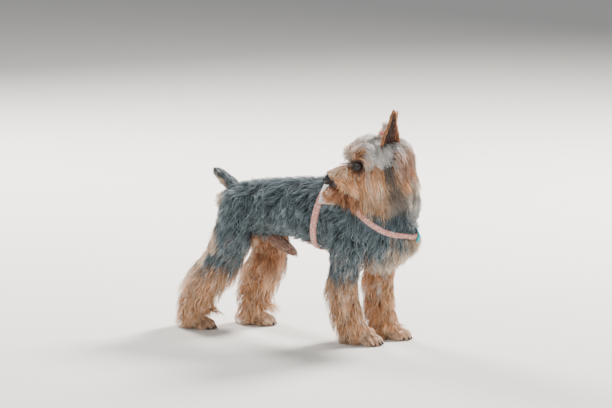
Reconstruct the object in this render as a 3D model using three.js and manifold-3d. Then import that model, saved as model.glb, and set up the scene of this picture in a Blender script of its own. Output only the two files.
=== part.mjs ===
// A yorkshire terrier, life size, standing still and looking back over its right shoulder.
// Millimetres, +X towards the chest, +Y to the animal's left, +Z up. The paws stand on z = 0.
import * as THREE from "three";
import { mergeVertices } from "three/addons/utils/BufferGeometryUtils.js";
import Module from "manifold-3d";

const wasm = await Module();
wasm.setup();
const { Manifold } = wasm;

// Driving sizes
const GAP = 0.36; // free space kept between touching nodes
const CORE = 5; // how far the solid core lies inside the tips of the body coat
const HEAD_AT = [111, -17, 239]; // middle of the skull
const HEAD_YAW = -142; // degrees, turned to the right past the shoulder
const EYE_RADIUS = 6.2;
const EYE_AT = [26.5, 13.2, -4]; // left eye, in the head's own frame
const STRAP_WIDTH = 9;
const STRAP_THICK = 2.2;

const rad = THREE.MathUtils.degToRad;
const vec = (a) => new THREE.Vector3(...a);
const mirrored = (p, side) => [p[0], p[1] * side, p[2]];
const middleOf = (ring) => ring.reduce((sum, p) => sum.add(p), new THREE.Vector3()).divideScalar(ring.length);

// A small seeded generator, so that every run draws the same coat
function seeded(seed) {
  let state = seed >>> 0;
  return () => {
    state = (state + 0x6d2b79f5) >>> 0;
    let t = Math.imul(state ^ (state >>> 15), 1 | state);
    t = (t + Math.imul(t ^ (t >>> 7), 61 | t)) ^ t;
    return ((t ^ (t >>> 14)) >>> 0) / 4294967296;
  };
}

// Closed geometry from rings of points, with a fan over each end
function skinRings(rings, first, last) {
  const sides = rings[0].length;
  const points = rings.flat();
  const index = [];
  const at = (r, i) => r * sides + (i % sides);
  for (let r = 0; r < rings.length - 1; r++)
    for (let i = 0; i < sides; i++)
      index.push(at(r, i), at(r, i + 1), at(r + 1, i + 1), at(r, i), at(r + 1, i + 1), at(r + 1, i));
  points.push(first, last);
  const [a, b] = [points.length - 2, points.length - 1];
  for (let i = 0; i < sides; i++)
    index.push(a, at(0, i + 1), at(0, i), b, at(rings.length - 1, i), at(rings.length - 1, i + 1));
  const geometry = new THREE.BufferGeometry();
  geometry.setAttribute("position", new THREE.Float32BufferAttribute(points.flatMap((p) => p.toArray()), 3));
  geometry.setIndex(index);
  return geometry;
}

// A manifold-3d solid from closed geometry, turned face out where it came inside out
function solid(geometry) {
  const bare = geometry.index ? geometry.toNonIndexed() : geometry.clone();
  bare.deleteAttribute("normal");
  bare.deleteAttribute("uv");
  const merged = mergeVertices(bare, 1e-4);
  const vertProperties = new Float32Array(merged.attributes.position.array);
  const triVerts = new Uint32Array(merged.index.array);
  const made = new Manifold(new wasm.Mesh({ numProp: 3, vertProperties, triVerts }));
  if (made.volume() > 0) return made;
  for (let i = 0; i < triVerts.length; i += 3)
    [triVerts[i + 1], triVerts[i + 2]] = [triVerts[i + 2], triVerts[i + 1]];
  return new Manifold(new wasm.Mesh({ numProp: 3, vertProperties, triVerts }));
}

function geometryOf(made) {
  const mesh = made.getMesh();
  const geometry = new THREE.BufferGeometry();
  geometry.setAttribute("position", new THREE.BufferAttribute(new Float32Array(mesh.vertProperties), 3));
  geometry.setIndex(new THREE.BufferAttribute(new Uint32Array(mesh.triVerts), 1));
  return geometry;
}

const join = (pieces) => Manifold.union(pieces);
const largest = (made) => made.decompose().reduce((a, b) => (a.volume() > b.volume() ? a : b));

// A limb or body: rings across a path. Each stop is [x, y, z, lateral radius, other radius].
function tube(stops, { sides = 12, lateral = [0, 1, 0], grow = 0 } = {}) {
  const at = stops.map((s) => vec(s));
  const side = vec(lateral);
  const rings = stops.map((s, k) => {
    const along = at[Math.min(k + 1, at.length - 1)].clone().sub(at[Math.max(k - 1, 0)]).normalize();
    const u = side.clone().addScaledVector(along, -side.dot(along)).normalize();
    const v = along.clone().cross(u);
    return Array.from({ length: sides }, (_, i) => {
      const angle = (2 * Math.PI * i) / sides;
      return at[k]
        .clone()
        .addScaledVector(u, Math.cos(angle) * (s[3] + grow))
        .addScaledVector(v, Math.sin(angle) * (s[4] + grow));
    });
  });
  const ends = [0, stops.length - 1].map((k) => {
    const outward = at[k].clone().sub(at[k === 0 ? 1 : k - 1]).normalize();
    return at[k].clone().addScaledVector(outward, Math.min(stops[k][3], stops[k][4]) * 0.35 + grow);
  });
  return solid(skinRings(rings, ends[0], ends[1]));
}

// An ellipsoid, coarse on purpose
function ball(centre, radii, { grow = 0, across = 14, down = 9 } = {}) {
  const geometry = new THREE.SphereGeometry(1, across, down);
  geometry.scale(radii[0] + grow, radii[1] + grow, radii[2] + grow);
  geometry.translate(...centre);
  return solid(geometry);
}

// A box given by its middle, its full size and its turn about Y
function block(centre, size, turnY = 0, turnX = 0) {
  const geometry = new THREE.BoxGeometry(...size);
  geometry.rotateX(rad(turnX));
  geometry.rotateY(rad(turnY));
  geometry.translate(...centre);
  return solid(geometry);
}

// A flat, tapered lock: it leaves the coat at its root, follows its lie, stands off by `stand`
// and bends back to the form by `hug`
const PLAIN_LOCK = { thick: 2.2, stand: 5, hug: 0, wave: 2, phase: 0, sink: 3, grow: 0 };
function lock(root, normal, lie, look) {
  const { length, width, thick, stand, hug, wave, phase, sink, grow } = { ...PLAIN_LOCK, ...look };
  const n = normal.clone().normalize();
  const d = lie.clone().addScaledVector(n, -lie.dot(n)).normalize();
  const b = d.clone().cross(n);
  const steps = 4;
  const middle = (s) =>
    root
      .clone()
      .addScaledVector(d, length * s - sink * 0.6)
      .addScaledVector(n, -sink + (sink + stand) * Math.pow(Math.max(0, s), 0.75) - hug * s * s)
      .addScaledVector(b, wave * Math.sin(phase + 4.2 * s) * s);
  const shape = [0.62, 1, 0.86, 0.55];
  const rings = shape.map((share, k) => {
    const s = k / steps;
    const here = middle(s);
    const along = middle(s + 0.05).sub(middle(s - 0.05)).normalize();
    const across = along.clone().cross(n).normalize();
    const up = across.clone().cross(along).normalize();
    const half = (width / 2) * share;
    const rise = thick * (1 - 0.45 * s);
    const plain = [[half, 0], [0, rise], [-half, 0]];
    const [h, g] = [half + grow, grow];
    const section = grow ? [[h, -g], [h, g], [0, rise + g], [-h, g], [-h, -g]] : plain;
    return section.map(([a, c]) => here.clone().addScaledVector(across, a).addScaledVector(up, c));
  });
  const back = middle(0).addScaledVector(d, -1.5 - 2 * grow);
  const tip = middle(1 + (3 * grow) / length);
  return solid(skinRings(rings, back, tip));
}

// Finds where a ray meets the skin of a solid, and the way out of it there
class Surface {
  constructor(made) {
    this.mesh = new THREE.Mesh(geometryOf(made), new THREE.MeshBasicMaterial({ side: THREE.FrontSide }));
    this.mesh.geometry.computeBoundingSphere();
    this.caster = new THREE.Raycaster();
  }
  // The first hit from outside, looking towards `centre` against the direction `out`
  hit(centre, out, reach = 120) {
    const away = out.clone().normalize();
    this.caster.set(centre.clone().addScaledVector(away, reach), away.clone().negate());
    const found = this.caster.intersectObject(this.mesh, false)[0];
    if (!found || found.distance > reach) return null;
    return { point: found.point, normal: found.face.normal.clone() };
  }
}

// Body core

// Trunk outline at the tips of the coat: x, top z, bottom z, half width
const TRUNK = [
  [-121, 184, 152, 20],
  [-114, 196, 140, 33],
  [-97, 201, 129, 42],
  [-70, 204, 126, 44],
  [-40, 208, 127, 41],
  [-5, 212, 123, 42],
  [38, 217, 111, 47],
  [82, 217, 98, 49],
  [108, 208, 95, 48],
  [130, 192, 99, 43],
  [147, 174, 108, 33],
  [156, 160, 122, 20],
];
const trunkStops = TRUNK.map(([x, top, low, half]) => {
  const halfHeight = (top - low) / 2 - CORE;
  return [x, 0, (top + low) / 2, half - CORE, halfHeight];
});

// Neck: rises from the breast and leans back over the right shoulder
const NECK = [
  [108, 0, 140, 34, 36],
  [118, 2, 165, 33, 35],
  [127, 2, 190, 29, 30],
  [129, -4, 214, 26, 27],
  [123, -10, 236, 22, 23],
];

const TAIL = [
  [-98, 0, 184, 8, 9],
  [-112, 0, 193, 7, 7.5],
  [-126, 0, 203, 6, 6.5],
  [-136, 0, 210, 4.5, 5],
];

// Each leg from its root inside the body down to the pastern, with the paw as its own stops
const LEGS = {
  fore_right: {
    upper: [
      [82, -31, 150, 15, 25],
      [77, -33, 124, 14, 22],
      [74, -33, 102, 13, 18],
      [73, -31, 76, 12, 15],
      [74, -28, 50, 11.5, 14],
      [79, -26, 28, 11, 12.5],
      [88, -24, 12, 10, 11],
    ],
    paw: [
      [80, -24, 9, 9, 8],
      [92, -24, 10, 12, 10],
      [107, -24, 9, 13, 9],
      [118, -24, 6.5, 8.5, 6],
    ],
  },
  fore_left: {
    upper: [
      [94, 31, 150, 15, 25],
      [93, 33, 124, 14, 21],
      [94, 33, 102, 13, 17],
      [96, 31, 76, 12, 14],
      [97, 28, 50, 11.5, 13],
      [101, 27, 28, 11, 12],
      [107, 26, 12, 10, 11],
    ],
    paw: [
      [99, 26, 9, 9, 8],
      [110, 26, 10, 12, 10],
      [124, 26, 9, 13, 9],
      [134, 26, 6.5, 8.5, 6],
    ],
  },
  hind_right: {
    upper: [
      [-86, -26, 168, 14, 28],
      [-91, -31, 140, 15, 30],
      [-100, -34, 112, 14, 26],
      [-117, -35, 86, 12.5, 22],
      [-134, -35, 62, 11.5, 18],
      [-147, -34, 42, 10.5, 14],
      [-153, -33, 24, 10, 11],
      [-152, -33, 11, 10, 10],
    ],
    paw: [
      [-162, -33, 8.5, 8.5, 7.5],
      [-151, -33, 9.5, 11.5, 9.5],
      [-137, -33, 8.5, 12, 8.5],
      [-127, -33, 6, 8, 5.5],
    ],
  },
  hind_left: {
    upper: [
      [-80, 26, 168, 14, 28],
      [-74, 31, 140, 15, 30],
      [-69, 33, 112, 14, 25],
      [-74, 32, 87, 12.5, 20],
      [-84, 30, 65, 11.5, 18],
      [-90, 28, 46, 10.5, 15],
      [-94, 27, 26, 10, 11.5],
      [-93, 26, 11, 10, 10],
    ],
    paw: [
      [-103, 26, 8.5, 8.5, 7.5],
      [-92, 26, 9.5, 11.5, 9.5],
      [-78, 26, 8.5, 12, 8.5],
      [-68, 26, 6, 8, 5.5],
    ],
  },
};

const SHEATH = [
  [-62, 0, 134, 11, 10],
  [-44, 0, 122, 9, 9],
  [-24, 0, 110, 6.5, 6.5],
  [-13, 0, 102, 4, 4],
];

function bodyCore(grow) {
  const legs = Object.values(LEGS).flatMap(({ upper, paw }) => [
    tube(upper, { grow, sides: 8 }),
    tube(paw, { grow, sides: 8 }),
  ]);
  return join([
    tube(trunkStops, { grow, sides: 12 }),
    tube(NECK, { grow, sides: 12 }),
    tube(TAIL, { grow, sides: 7 }),
    tube(SHEATH, { grow, sides: 7 }),
    ...legs,
  ]);
}

// Head core, in the head's own frame: +X to the nose, +Y to its left, +Z up
const toRow = new THREE.Matrix4()
  .makeTranslation(...HEAD_AT)
  .multiply(new THREE.Matrix4().makeRotationZ(rad(HEAD_YAW)));
const inRow = (made) => made.transform([...toRow.elements]);

const MUZZLE = [
  [6, 0, -12, 23, 19],
  [28, 0, -15, 17, 15],
  [44, 0, -18, 13.5, 11.5],
  [56, 0, -20.5, 11.5, 10],
  [61, 0, -21.5, 8.5, 8],
];
// The thick of the beard and cheeks, half way out to their tips
const CHEEK = [
  [34, 0, -28, 15, 11],
  [18, 0, -33, 20, 17],
  [0, 0, -35, 23, 20],
  [-14, 0, -33, 20, 17],
];
const JAW = [
  [2, 0, -33, 17, 8],
  [24, 0, -37, 12.5, 6.5],
  [44, 0, -37, 9.5, 5.5],
  [58, 0, -35.5, 7, 4.5],
];

// The rolled edge of each lip on the left side, from the corner of the mouth to its front
const UPPER_LIP = [
  [30, 12.2, -27.6, 2.2, 2],
  [47, 9, -28, 2, 1.8],
  [62, 4, -27.2, 1.6, 1.4],
];
const LOWER_LIP = [
  [28, 11.6, -34.4, 1.9, 1.7],
  [45, 8.6, -34.6, 1.7, 1.5],
  [59, 4, -33.8, 1.5, 1.3],
];
const SIDES = [1, -1];
const lips = (stops, grow) =>
  SIDES.map((side) => {
    const own = stops.map(([x, y, ...rest]) => [x, y * side, ...rest]);
    return tube(own, { grow, sides: 5, lateral: [0, 0, 1] });
  });

function headCore(grow) {
  return join([
    ball([-3, 0, 2], [34, 27, 28], { grow, across: 12, down: 7 }),
    tube(MUZZLE, { grow, sides: 10 }),
    ...lips(UPPER_LIP, grow),
    ...SIDES.map((s) => ball([7, 15 * s, -13], [21, 14, 17], { grow, across: 9, down: 5 })),
    ...SIDES.map((s) => ball([24, 10.5 * s, 8], [12, 9.5, 9], { grow, across: 7, down: 5 })),
    ...SIDES.map((s) => ball([21.5, 11 * s, -6], [12, 8.5, 10], { grow, across: 7, down: 5 })),
  ]);
}

const cheekCore = (grow) => tube(CHEEK, { grow, sides: 10 });

const jawCore = (grow) => join([tube(JAW, { grow, sides: 9 }), ...lips(LOWER_LIP, grow)]);

// An upright ear: a thin cup, drawn as an outer and an inner sheet that meet at the rim
const EAR = { height: 61, halfWidth: 13, cup: 7, thick: 1.8 };
function earShell(turn, back, out, side, grow = 0) {
  const rows = 7;
  const columns = 6;
  const halfAt = (t) => {
    const taper = 0.95 * Math.pow(1 - t, 0.62) + 0.05;
    const belly = 0.86 + 0.34 * Math.sin(Math.PI * Math.min(t * 1.5, 1));
    return EAR.halfWidth * taper * belly;
  };
  const sheet = (face) =>
    Array.from({ length: rows + 1 }, (_, r) =>
      Array.from({ length: columns + 1 }, (_, c) => {
        const t = r / rows;
        const q = (2 * c) / columns - 1;
        const half = halfAt(t) + grow;
        const depth = EAR.cup * (1 - 0.75 * t) * (1 - q * q);
        const edge = 1 - Math.pow(Math.abs(q), 6);
        const offset = face * ((EAR.thick / 2) * (0.35 + 0.65 * edge) + grow);
        const rise = t * (EAR.height + 2 * grow) - 10 - grow;
        return new THREE.Vector3(-depth - offset, q * half, rise);
      }),
    );
  const outer = sheet(1);
  const inner = sheet(-1);
  const rings = outer.map((row, r) => [...row, ...[...inner[r]].reverse()]);
  const geometry = skinRings(rings, middleOf(rings[0]), middleOf(rings[rows]));
  geometry.applyMatrix4(new THREE.Matrix4().makeRotationZ(rad(turn) * side));
  geometry.applyMatrix4(new THREE.Matrix4().makeRotationX(rad(-out) * side));
  geometry.applyMatrix4(new THREE.Matrix4().makeRotationY(rad(-back)));
  geometry.translate(-14, 19 * side, 20);
  return solid(geometry);
}

// Coat

const down = new THREE.Vector3(0, 0, -1);

// One comb lays rows of locks on a surface. Each row has a centre, and a fan of directions to look along.
function comb(surface, { centres, fan, lie, form }) {
  const made = [];
  centres.forEach((centre, row) => {
    fan(row).forEach((angle) => {
      const out = centre.out(angle);
      const found = surface.hit(centre.at, out, centre.reach);
      if (!found) return;
      made.push({ ...found, lie: lie(found, centre, angle), ...form(found, centre) });
    });
  });
  return made;
}

const layLocks = (list, grow = 0) => list.map((l) => lock(l.point, l.normal, l.lie, { ...l, grow }));

// Centres along a path of stops, with directions turned about the path
function alongPath(stops, shares, reach) {
  const curve = new THREE.CatmullRomCurve3(stops.map((s) => vec(s)));
  return shares.map((t) => {
    const at = curve.getPoint(t);
    const along = curve.getTangent(t);
    const u = new THREE.Vector3(0, 1, 0).addScaledVector(along, -along.y).normalize();
    const v = along.clone().cross(u);
    const out = (angle) =>
      u.clone().multiplyScalar(Math.sin(rad(angle))).addScaledVector(v, -Math.cos(rad(angle)));
    return { at, along, out, reach, t };
  });
}

function bodyLocks(core) {
  const surface = new Surface(core);
  const draw = seeded(7);
  const jitter = (size) => (draw() - 0.5) * size;
  const trunkCentres = (xs) =>
    xs.map((x) => {
      const at = new THREE.Vector3(x, 0, 160);
      return { at, reach: 90, out: (a) => new THREE.Vector3(0, Math.sin(rad(a)), Math.cos(rad(a))) };
    });

  const back = comb(surface, {
    centres: trunkCentres([60, 26, -10, -46, -78]),
    fan: (row) => (row % 2 ? [-94, -48, 0, 48, 94] : [-110, -70, -24, 24, 70, 110]),
    lie: ({ normal }) => new THREE.Vector3(-1, 0, -0.2 - 1.1 * Math.abs(normal.y)),
    form: () => ({
      length: 46 + jitter(8),
      width: 30,
      thick: 3.2,
      stand: 6,
      hug: 2,
      wave: 3,
      phase: jitter(6),
    }),
  });

  const rump = comb(surface, {
    centres: [0, 1].map((row) => ({
      at: new THREE.Vector3(-92, 0, 172 - 20 * row),
      reach: 60,
      out: (a) => new THREE.Vector3(-Math.cos(rad(a)), Math.sin(rad(a)), 0),
    })),
    fan: (row) => (row ? [-48, 0, 48] : [-66, -24, 24, 66]),
    lie: () => new THREE.Vector3(-0.25, 0, -1),
    form: () => ({
      length: 32 + jitter(6),
      width: 20,
      thick: 3,
      stand: 5.5,
      hug: 1,
      phase: jitter(6),
    }),
  });

  const breast = comb(surface, {
    centres: [164, 140, 118].map((z) => ({
      at: new THREE.Vector3(104, 0, z),
      reach: 80,
      out: (a) => new THREE.Vector3(Math.cos(rad(a)), Math.sin(rad(a)), 0),
    })),
    fan: (row) => (row % 2 ? [-96, -48, 0, 48, 96] : [-78, -26, 26, 78]),
    lie: (_, __, a) => new THREE.Vector3(-0.35 * Math.cos(rad(a)), 0.1, -1),
    form: ({ point }) => ({
      length: 8 + 0.17 * point.z + jitter(6),
      width: 26,
      thick: 3.2,
      stand: 6,
      hug: 2,
      phase: jitter(6),
    }),
  });

  const neck = comb(surface, {
    centres: alongPath(NECK, [0.78, 0.5], 60),
    fan: (row) => (row % 2 ? [30, 75, 120, 165, 210] : [5, 50, 95, 140, 185, 230]),
    lie: () => down.clone(),
    form: () => ({
      length: 40 + jitter(6),
      width: 23,
      thick: 3,
      stand: 8,
      hug: 2.5,
      wave: 2.5,
      phase: jitter(6),
    }),
  });

  const legs = Object.entries(LEGS).flatMap(([name, leg]) => {
    const fore = name.startsWith("fore");
    const shares = fore ? [0.38, 0.56, 0.74] : [0.26, 0.5, 0.72];
    return comb(surface, {
      centres: alongPath(leg.upper, shares, 46),
      fan: (row) => (row % 2 ? [45, 135, 225, 315] : [0, 90, 180, 270]),
      lie: ({ normal }) => new THREE.Vector3(-0.2 + 0.25 * normal.x, 0, -1),
      form: ({ normal }, centre) => {
        const behind = fore ? Math.max(-normal.x, 0.5 * normal.x) : Math.abs(normal.x);
        const feather = Math.max(0, behind) * (fore ? 0.75 : 0.6);
        return {
          length: (fore ? 30 : 34) + 10 * feather + jitter(5),
          width: 19 - 4 * centre.t,
          thick: 2.6,
          stand: 5 + 14 * feather,
          hug: 5 * feather,
          wave: 2,
          phase: jitter(6),
        };
      },
    });
  });

  const tail = comb(surface, {
    centres: alongPath(TAIL, [0.62], 30),
    fan: () => [0, 90, 180, 270],
    lie: () => new THREE.Vector3(-0.82, 0, 0.57),
    form: () => ({
      length: 18,
      width: 8,
      thick: 2,
      stand: 2.2,
      wave: 0.6,
      sink: 1.6,
      phase: jitter(6),
    }),
  });
  return [...back, ...rump, ...breast, ...neck, ...legs, ...tail];
}

function headLocks(core) {
  const surface = new Surface(core);
  const draw = seeded(21);
  const jitter = (size) => (draw() - 0.5) * size;
  const sideways = (x, z, side, tilt = 0) => ({
    at: new THREE.Vector3(x, 0, z),
    reach: 60,
    out: () => new THREE.Vector3(0, side, tilt),
  });
  const one = () => [0];

  const curtain = SIDES.flatMap((side) => {
    const upper = [55, 40, 24, 7].map((x) => sideways(x, -16 - 0.05 * (58 - x), side));
    const lower = [44, 24, 2].map((x) => sideways(x, -27, side, -0.35));
    const lie = ({ point }) => new THREE.Vector3(-0.1 - 0.18 * (point.x / 60), 0.06 * side, -1);
    return [
      ...comb(surface, {
        centres: upper,
        fan: one,
        lie,
        form: ({ point }) => ({
          length: 33 + 0.3 * (58 - point.x) + jitter(4),
          width: 18,
          thick: 2.8,
          stand: 4.5,
          hug: 2.5,
          wave: 1.6,
          phase: jitter(6),
        }),
      }),
      ...comb(surface, {
        centres: lower,
        fan: one,
        lie,
        form: ({ point }) => ({
          length: 30 + 0.4 * (53 - point.x) + jitter(4),
          width: 21,
          thick: 2.8,
          stand: 2,
          hug: 1,
          wave: 1.6,
          phase: jitter(6),
        }),
      }),
    ];
  });

  const crown = comb(surface, {
    centres: [31, 15].map((x) => ({
      at: new THREE.Vector3(x - 14, 0, 0),
      reach: 60,
      out: (a) => new THREE.Vector3(0.55 * Math.cos(rad(a)), Math.sin(rad(a)), Math.cos(rad(a))),
    })),
    fan: (row) => (row % 2 ? [-51, -17, 17, 51] : [-36, 0, 36]),
    lie: ({ point }) => new THREE.Vector3(-1, -0.018 * point.y, 0.35),
    form: () => ({
      length: 29 + jitter(4),
      width: 15,
      thick: 2.4,
      stand: 5,
      hug: 3,
      wave: 1.2,
      phase: jitter(6),
    }),
  });

  const brows = SIDES.flatMap((side) =>
    comb(surface, {
      centres: [
        {
          at: new THREE.Vector3(20, 11 * side, 8),
          reach: 40,
          out: () => new THREE.Vector3(1, 0.3 * side, 0.75),
        },
      ],
      fan: one,
      lie: () => new THREE.Vector3(0.1, 0.8 * side, -0.55),
      form: () => ({ length: 13, width: 8, thick: 2, stand: 4.5, wave: 0.8, phase: jitter(6) }),
    }),
  );

  const bridge = comb(surface, {
    centres: [50, 40].map((x) => ({
      at: new THREE.Vector3(x, 0, -16),
      reach: 40,
      out: (a) => new THREE.Vector3(0, Math.sin(rad(a)), Math.cos(rad(a))),
    })),
    fan: (row) => (row ? [0] : [-42, 42]),
    lie: ({ point }) => new THREE.Vector3(0.55, Math.sign(point.y) * 0.75, 0),
    form: () => ({ length: 17, width: 9, thick: 2, stand: 3.5, hug: 3, wave: 1, phase: jitter(6) }),
  });

  const cheeks = SIDES.flatMap((side) =>
    comb(surface, {
      centres: [sideways(2, -1, side), sideways(-16, -8, side)],
      fan: one,
      lie: () => new THREE.Vector3(-0.35, 0.1 * side, -1),
      form: () => ({
        length: 36 + jitter(6),
        width: 20,
        thick: 2.8,
        stand: 5,
        hug: 1,
        wave: 2,
        phase: jitter(6),
      }),
    }),
  );

  const nape = comb(surface, {
    centres: [17, -1].map((z) => ({
      at: new THREE.Vector3(-6, 0, z),
      reach: 60,
      out: (a) => new THREE.Vector3(-Math.cos(rad(a)), Math.sin(rad(a)), 0.2),
    })),
    fan: (row) => (row % 2 ? [-50, -17, 17, 50] : [-36, 0, 36]),
    lie: () => new THREE.Vector3(-0.75, 0, -1),
    form: () => ({
      length: 44 + jitter(6),
      width: 23,
      thick: 2.8,
      stand: 14,
      hug: 7,
      wave: 2.5,
      phase: jitter(6),
    }),
  });
  return [...curtain, ...crown, ...brows, ...bridge, ...cheeks, ...nape];
}

function jawLocks(core) {
  const surface = new Surface(core);
  const draw = seeded(33);
  const jitter = (size) => (draw() - 0.5) * size;
  return comb(surface, {
    centres: [53, 36, 18].map((x) => ({
      at: new THREE.Vector3(x, 0, -34),
      reach: 40,
      out: (a) => new THREE.Vector3(0.25, Math.sin(rad(a)), -Math.cos(rad(a))),
    })),
    fan: (row) => (row % 2 ? [0] : [-28, 28]),
    lie: () => new THREE.Vector3(-0.28, 0, -1),
    form: ({ point }) => ({
      length: 20 + 0.16 * (56 - point.x) + jitter(4),
      width: 15,
      thick: 2.6,
      stand: 1.5,
      wave: 1.4,
      phase: jitter(6),
    }),
  });
}

// Topknot: a short tuft gathered by an elastic band between the ears
const KNOT_STEM = [
  [-10, 0, 22, 7, 7],
  [-11.6, 0, 31.5, 4.4, 4.4],
  [-12.5, 0, 38.5, 4.4, 4.4],
  [-14, 0, 44, 6.5, 6],
];
function topknotSolid(grow = 0) {
  const draw = seeded(5);
  const stem = tube(KNOT_STEM, { sides: 8, grow });
  const plume = Array.from({ length: 5 }, (_, k) => {
    const angle = (2 * Math.PI * k) / 5;
    const out = new THREE.Vector3(Math.cos(angle), Math.sin(angle), 0);
    const lie = new THREE.Vector3(-0.45, 0.1 * Math.sin(angle), 1).addScaledVector(out, 0.5);
    const root = new THREE.Vector3(-13.4, 0, 41).addScaledVector(out, 3.4);
    const look = { width: 8, thick: 2.6, stand: 4.5, sink: 2, wave: 1, grow };
    return lock(root, out, lie, { ...look, length: 15 + 4 * draw(), phase: 6 * draw() });
  });
  return join([stem, ...plume]);
}

// The elastic band round the foot of the topknot
function hairTie() {
  const ring = new THREE.TorusGeometry(6.2, 1.3, 5, 12);
  ring.rotateY(rad(-8));
  ring.translate(-12, 0, 35);
  return solid(ring);
}

// Harness

// A strap: a flat band that runs round the body in a tilted plane and lies on the core
const STRAP_LIFT = 0.5;
const WHOLE_STRAP = {
  from: 0,
  to: 360,
  width: STRAP_WIDTH,
  thick: STRAP_THICK,
  lift: STRAP_LIFT,
  steps: 16,
  grow: 0,
};
function bandOn(surface, look) {
  const { centre, normal, from, to, width, thick, lift, steps, grow } = { ...WHOLE_STRAP, ...look };
  const n = vec(normal).normalize();
  const v = n.clone().cross(new THREE.Vector3(0, 1, 0)).normalize();
  const u = v.clone().cross(n);
  const closed = to - from >= 360;
  const count = closed ? steps : steps + 1;
  const rows = Array.from({ length: count }, (_, i) => {
    const angle = rad(from + ((to - from) * i) / steps);
    const out = u.clone().multiplyScalar(Math.sin(angle)).addScaledVector(v, Math.cos(angle));
    const found = surface.hit(vec(centre), out, 100);
    const reach = found ? found.point.distanceTo(vec(centre)) : 40;
    return { out, reach };
  });
  // Where the coat is hollow, the strap spans it
  const neighbour = (i) => rows[closed ? (i + count) % count : Math.min(count - 1, Math.max(0, i))].reach;
  const smooth = rows.map((row, i) => Math.max(row.reach, (neighbour(i - 1) + neighbour(i + 1)) / 2));
  const rings = rows.map(({ out }, i) => {
    const low = smooth[i] + lift - grow;
    const high = smooth[i] + lift + thick + grow;
    const half = width / 2 + grow;
    const at = (r, h) => vec(centre).addScaledVector(out, r).addScaledVector(n, h);
    return [at(low, -half), at(high, -half), at(high, half), at(low, half)];
  });
  if (!closed) {
    return solid(skinRings(rings, middleOf(rings[0]), middleOf(rings[count - 1])));
  }
  const points = rings.flat();
  const index = [];
  for (let r = 0; r < count; r++)
    for (let i = 0; i < 4; i++) {
      const [a, b] = [r * 4 + i, r * 4 + ((i + 1) % 4)];
      const [c, d] = [((r + 1) % count) * 4 + i, ((r + 1) % count) * 4 + ((i + 1) % 4)];
      index.push(a, b, d, a, d, c);
    }
  const geometry = new THREE.BufferGeometry();
  geometry.setAttribute("position", new THREE.Float32BufferAttribute(points.flatMap((p) => p.toArray()), 3));
  geometry.setIndex(index);
  return solid(geometry);
}

// Each strap runs in a plane: a point in it, and its tilt from upright or level in degrees.
// The one round the neck also hangs lower on the side to which the head turns
const GIRTH_TILT = 12.7;
const LOOP_TILT = 36;
const LOOP_ROLL = 20;
const GIRTH = { centre: [35, 0, 162], normal: [Math.cos(rad(GIRTH_TILT)), 0, -Math.sin(rad(GIRTH_TILT))] };
const LOOP = {
  centre: [112, 0, 180.5],
  normal: [
    Math.cos(rad(LOOP_ROLL)) * Math.sin(rad(LOOP_TILT)),
    -Math.sin(rad(LOOP_ROLL)),
    Math.cos(rad(LOOP_ROLL)) * Math.cos(rad(LOOP_TILT)),
  ],
};
const OVER_STRAP = STRAP_LIFT + STRAP_THICK + 2 * 0.4; // height at which a piece lies on top of a strap
const BACK_PAD = {
  centre: [53, 0, 160],
  normal: [1, 0, 0],
  from: -52,
  to: 52,
  steps: 8,
  width: 24,
  thick: 1.8,
  lift: OVER_STRAP + 0.8,
};
const BUCKLE = { ...LOOP, from: 160, to: 175, steps: 3, width: 12, thick: 4, lift: OVER_STRAP };

// Assembly of the solids

const core = bodyCore(0);
const grownCore = bodyCore(GAP);
const head = headCore(0);
const headGrown = headCore(GAP);
const jawGap = jawCore(GAP);

const surfaceOfCore = new Surface(core);
const girth = bandOn(surfaceOfCore, GIRTH);
const girthGrown = bandOn(surfaceOfCore, { ...GIRTH, grow: GAP });
const loop = bandOn(surfaceOfCore, LOOP);
const loopGrown = bandOn(surfaceOfCore, { ...LOOP, grow: GAP });
const trims = {
  back_pad: (grow) => bandOn(surfaceOfCore, { ...BACK_PAD, grow }),
  buckle: (grow) => bandOn(surfaceOfCore, { ...BUCKLE, grow }),
};
const harnessGrown = join([girthGrown, loopGrown, ...Object.values(trims).map((make) => make(GAP))]);

// Head, with the mouth's gap, eye sockets and lids
const eyeBall = (side, grow) =>
  ball(mirrored(EYE_AT, side), [EYE_RADIUS, EYE_RADIUS, EYE_RADIUS], { grow, across: 12, down: 8 });
const eyes = SIDES.map((s) => eyeBall(s, 0));
const sockets = SIDES.map((s) => eyeBall(s, GAP));
function lids(side) {
  const [x, y, z] = mirrored(EYE_AT, side);
  const ring = new THREE.TorusGeometry(EYE_RADIUS - 0.6, 1.5, 4, 10);
  ring.scale(1, 0.8, 1);
  ring.rotateY(rad(90));
  ring.rotateZ(rad(56 * side));
  ring.translate(x + 1.8, y + 2.7 * side, z);
  return solid(ring);
}
const NOSE_AT = [64, 0, -21.8];
const noseBall = (grow) => ball(NOSE_AT, [7.5, 8.5, 7], { grow, across: 10, down: 7 });
const nostrils = join(SIDES.map((s) => ball([70.5, 4.4 * s, -22.3], [3.2, 1.9, 1.7], { across: 8, down: 6 })));
const nose = noseBall(0).subtract(nostrils);
const noseGrown = noseBall(GAP);

const ears = {
  left: (grow) => earShell(112, 3, 14, 1, grow),
  right: (grow) => earShell(70, 30, 30, -1, grow),
};
const earLeft = ears.left(0).subtract(headGrown);
const earRight = ears.right(0).subtract(headGrown);
const earsGrown = join([ears.left(GAP), ears.right(GAP)]);

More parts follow.
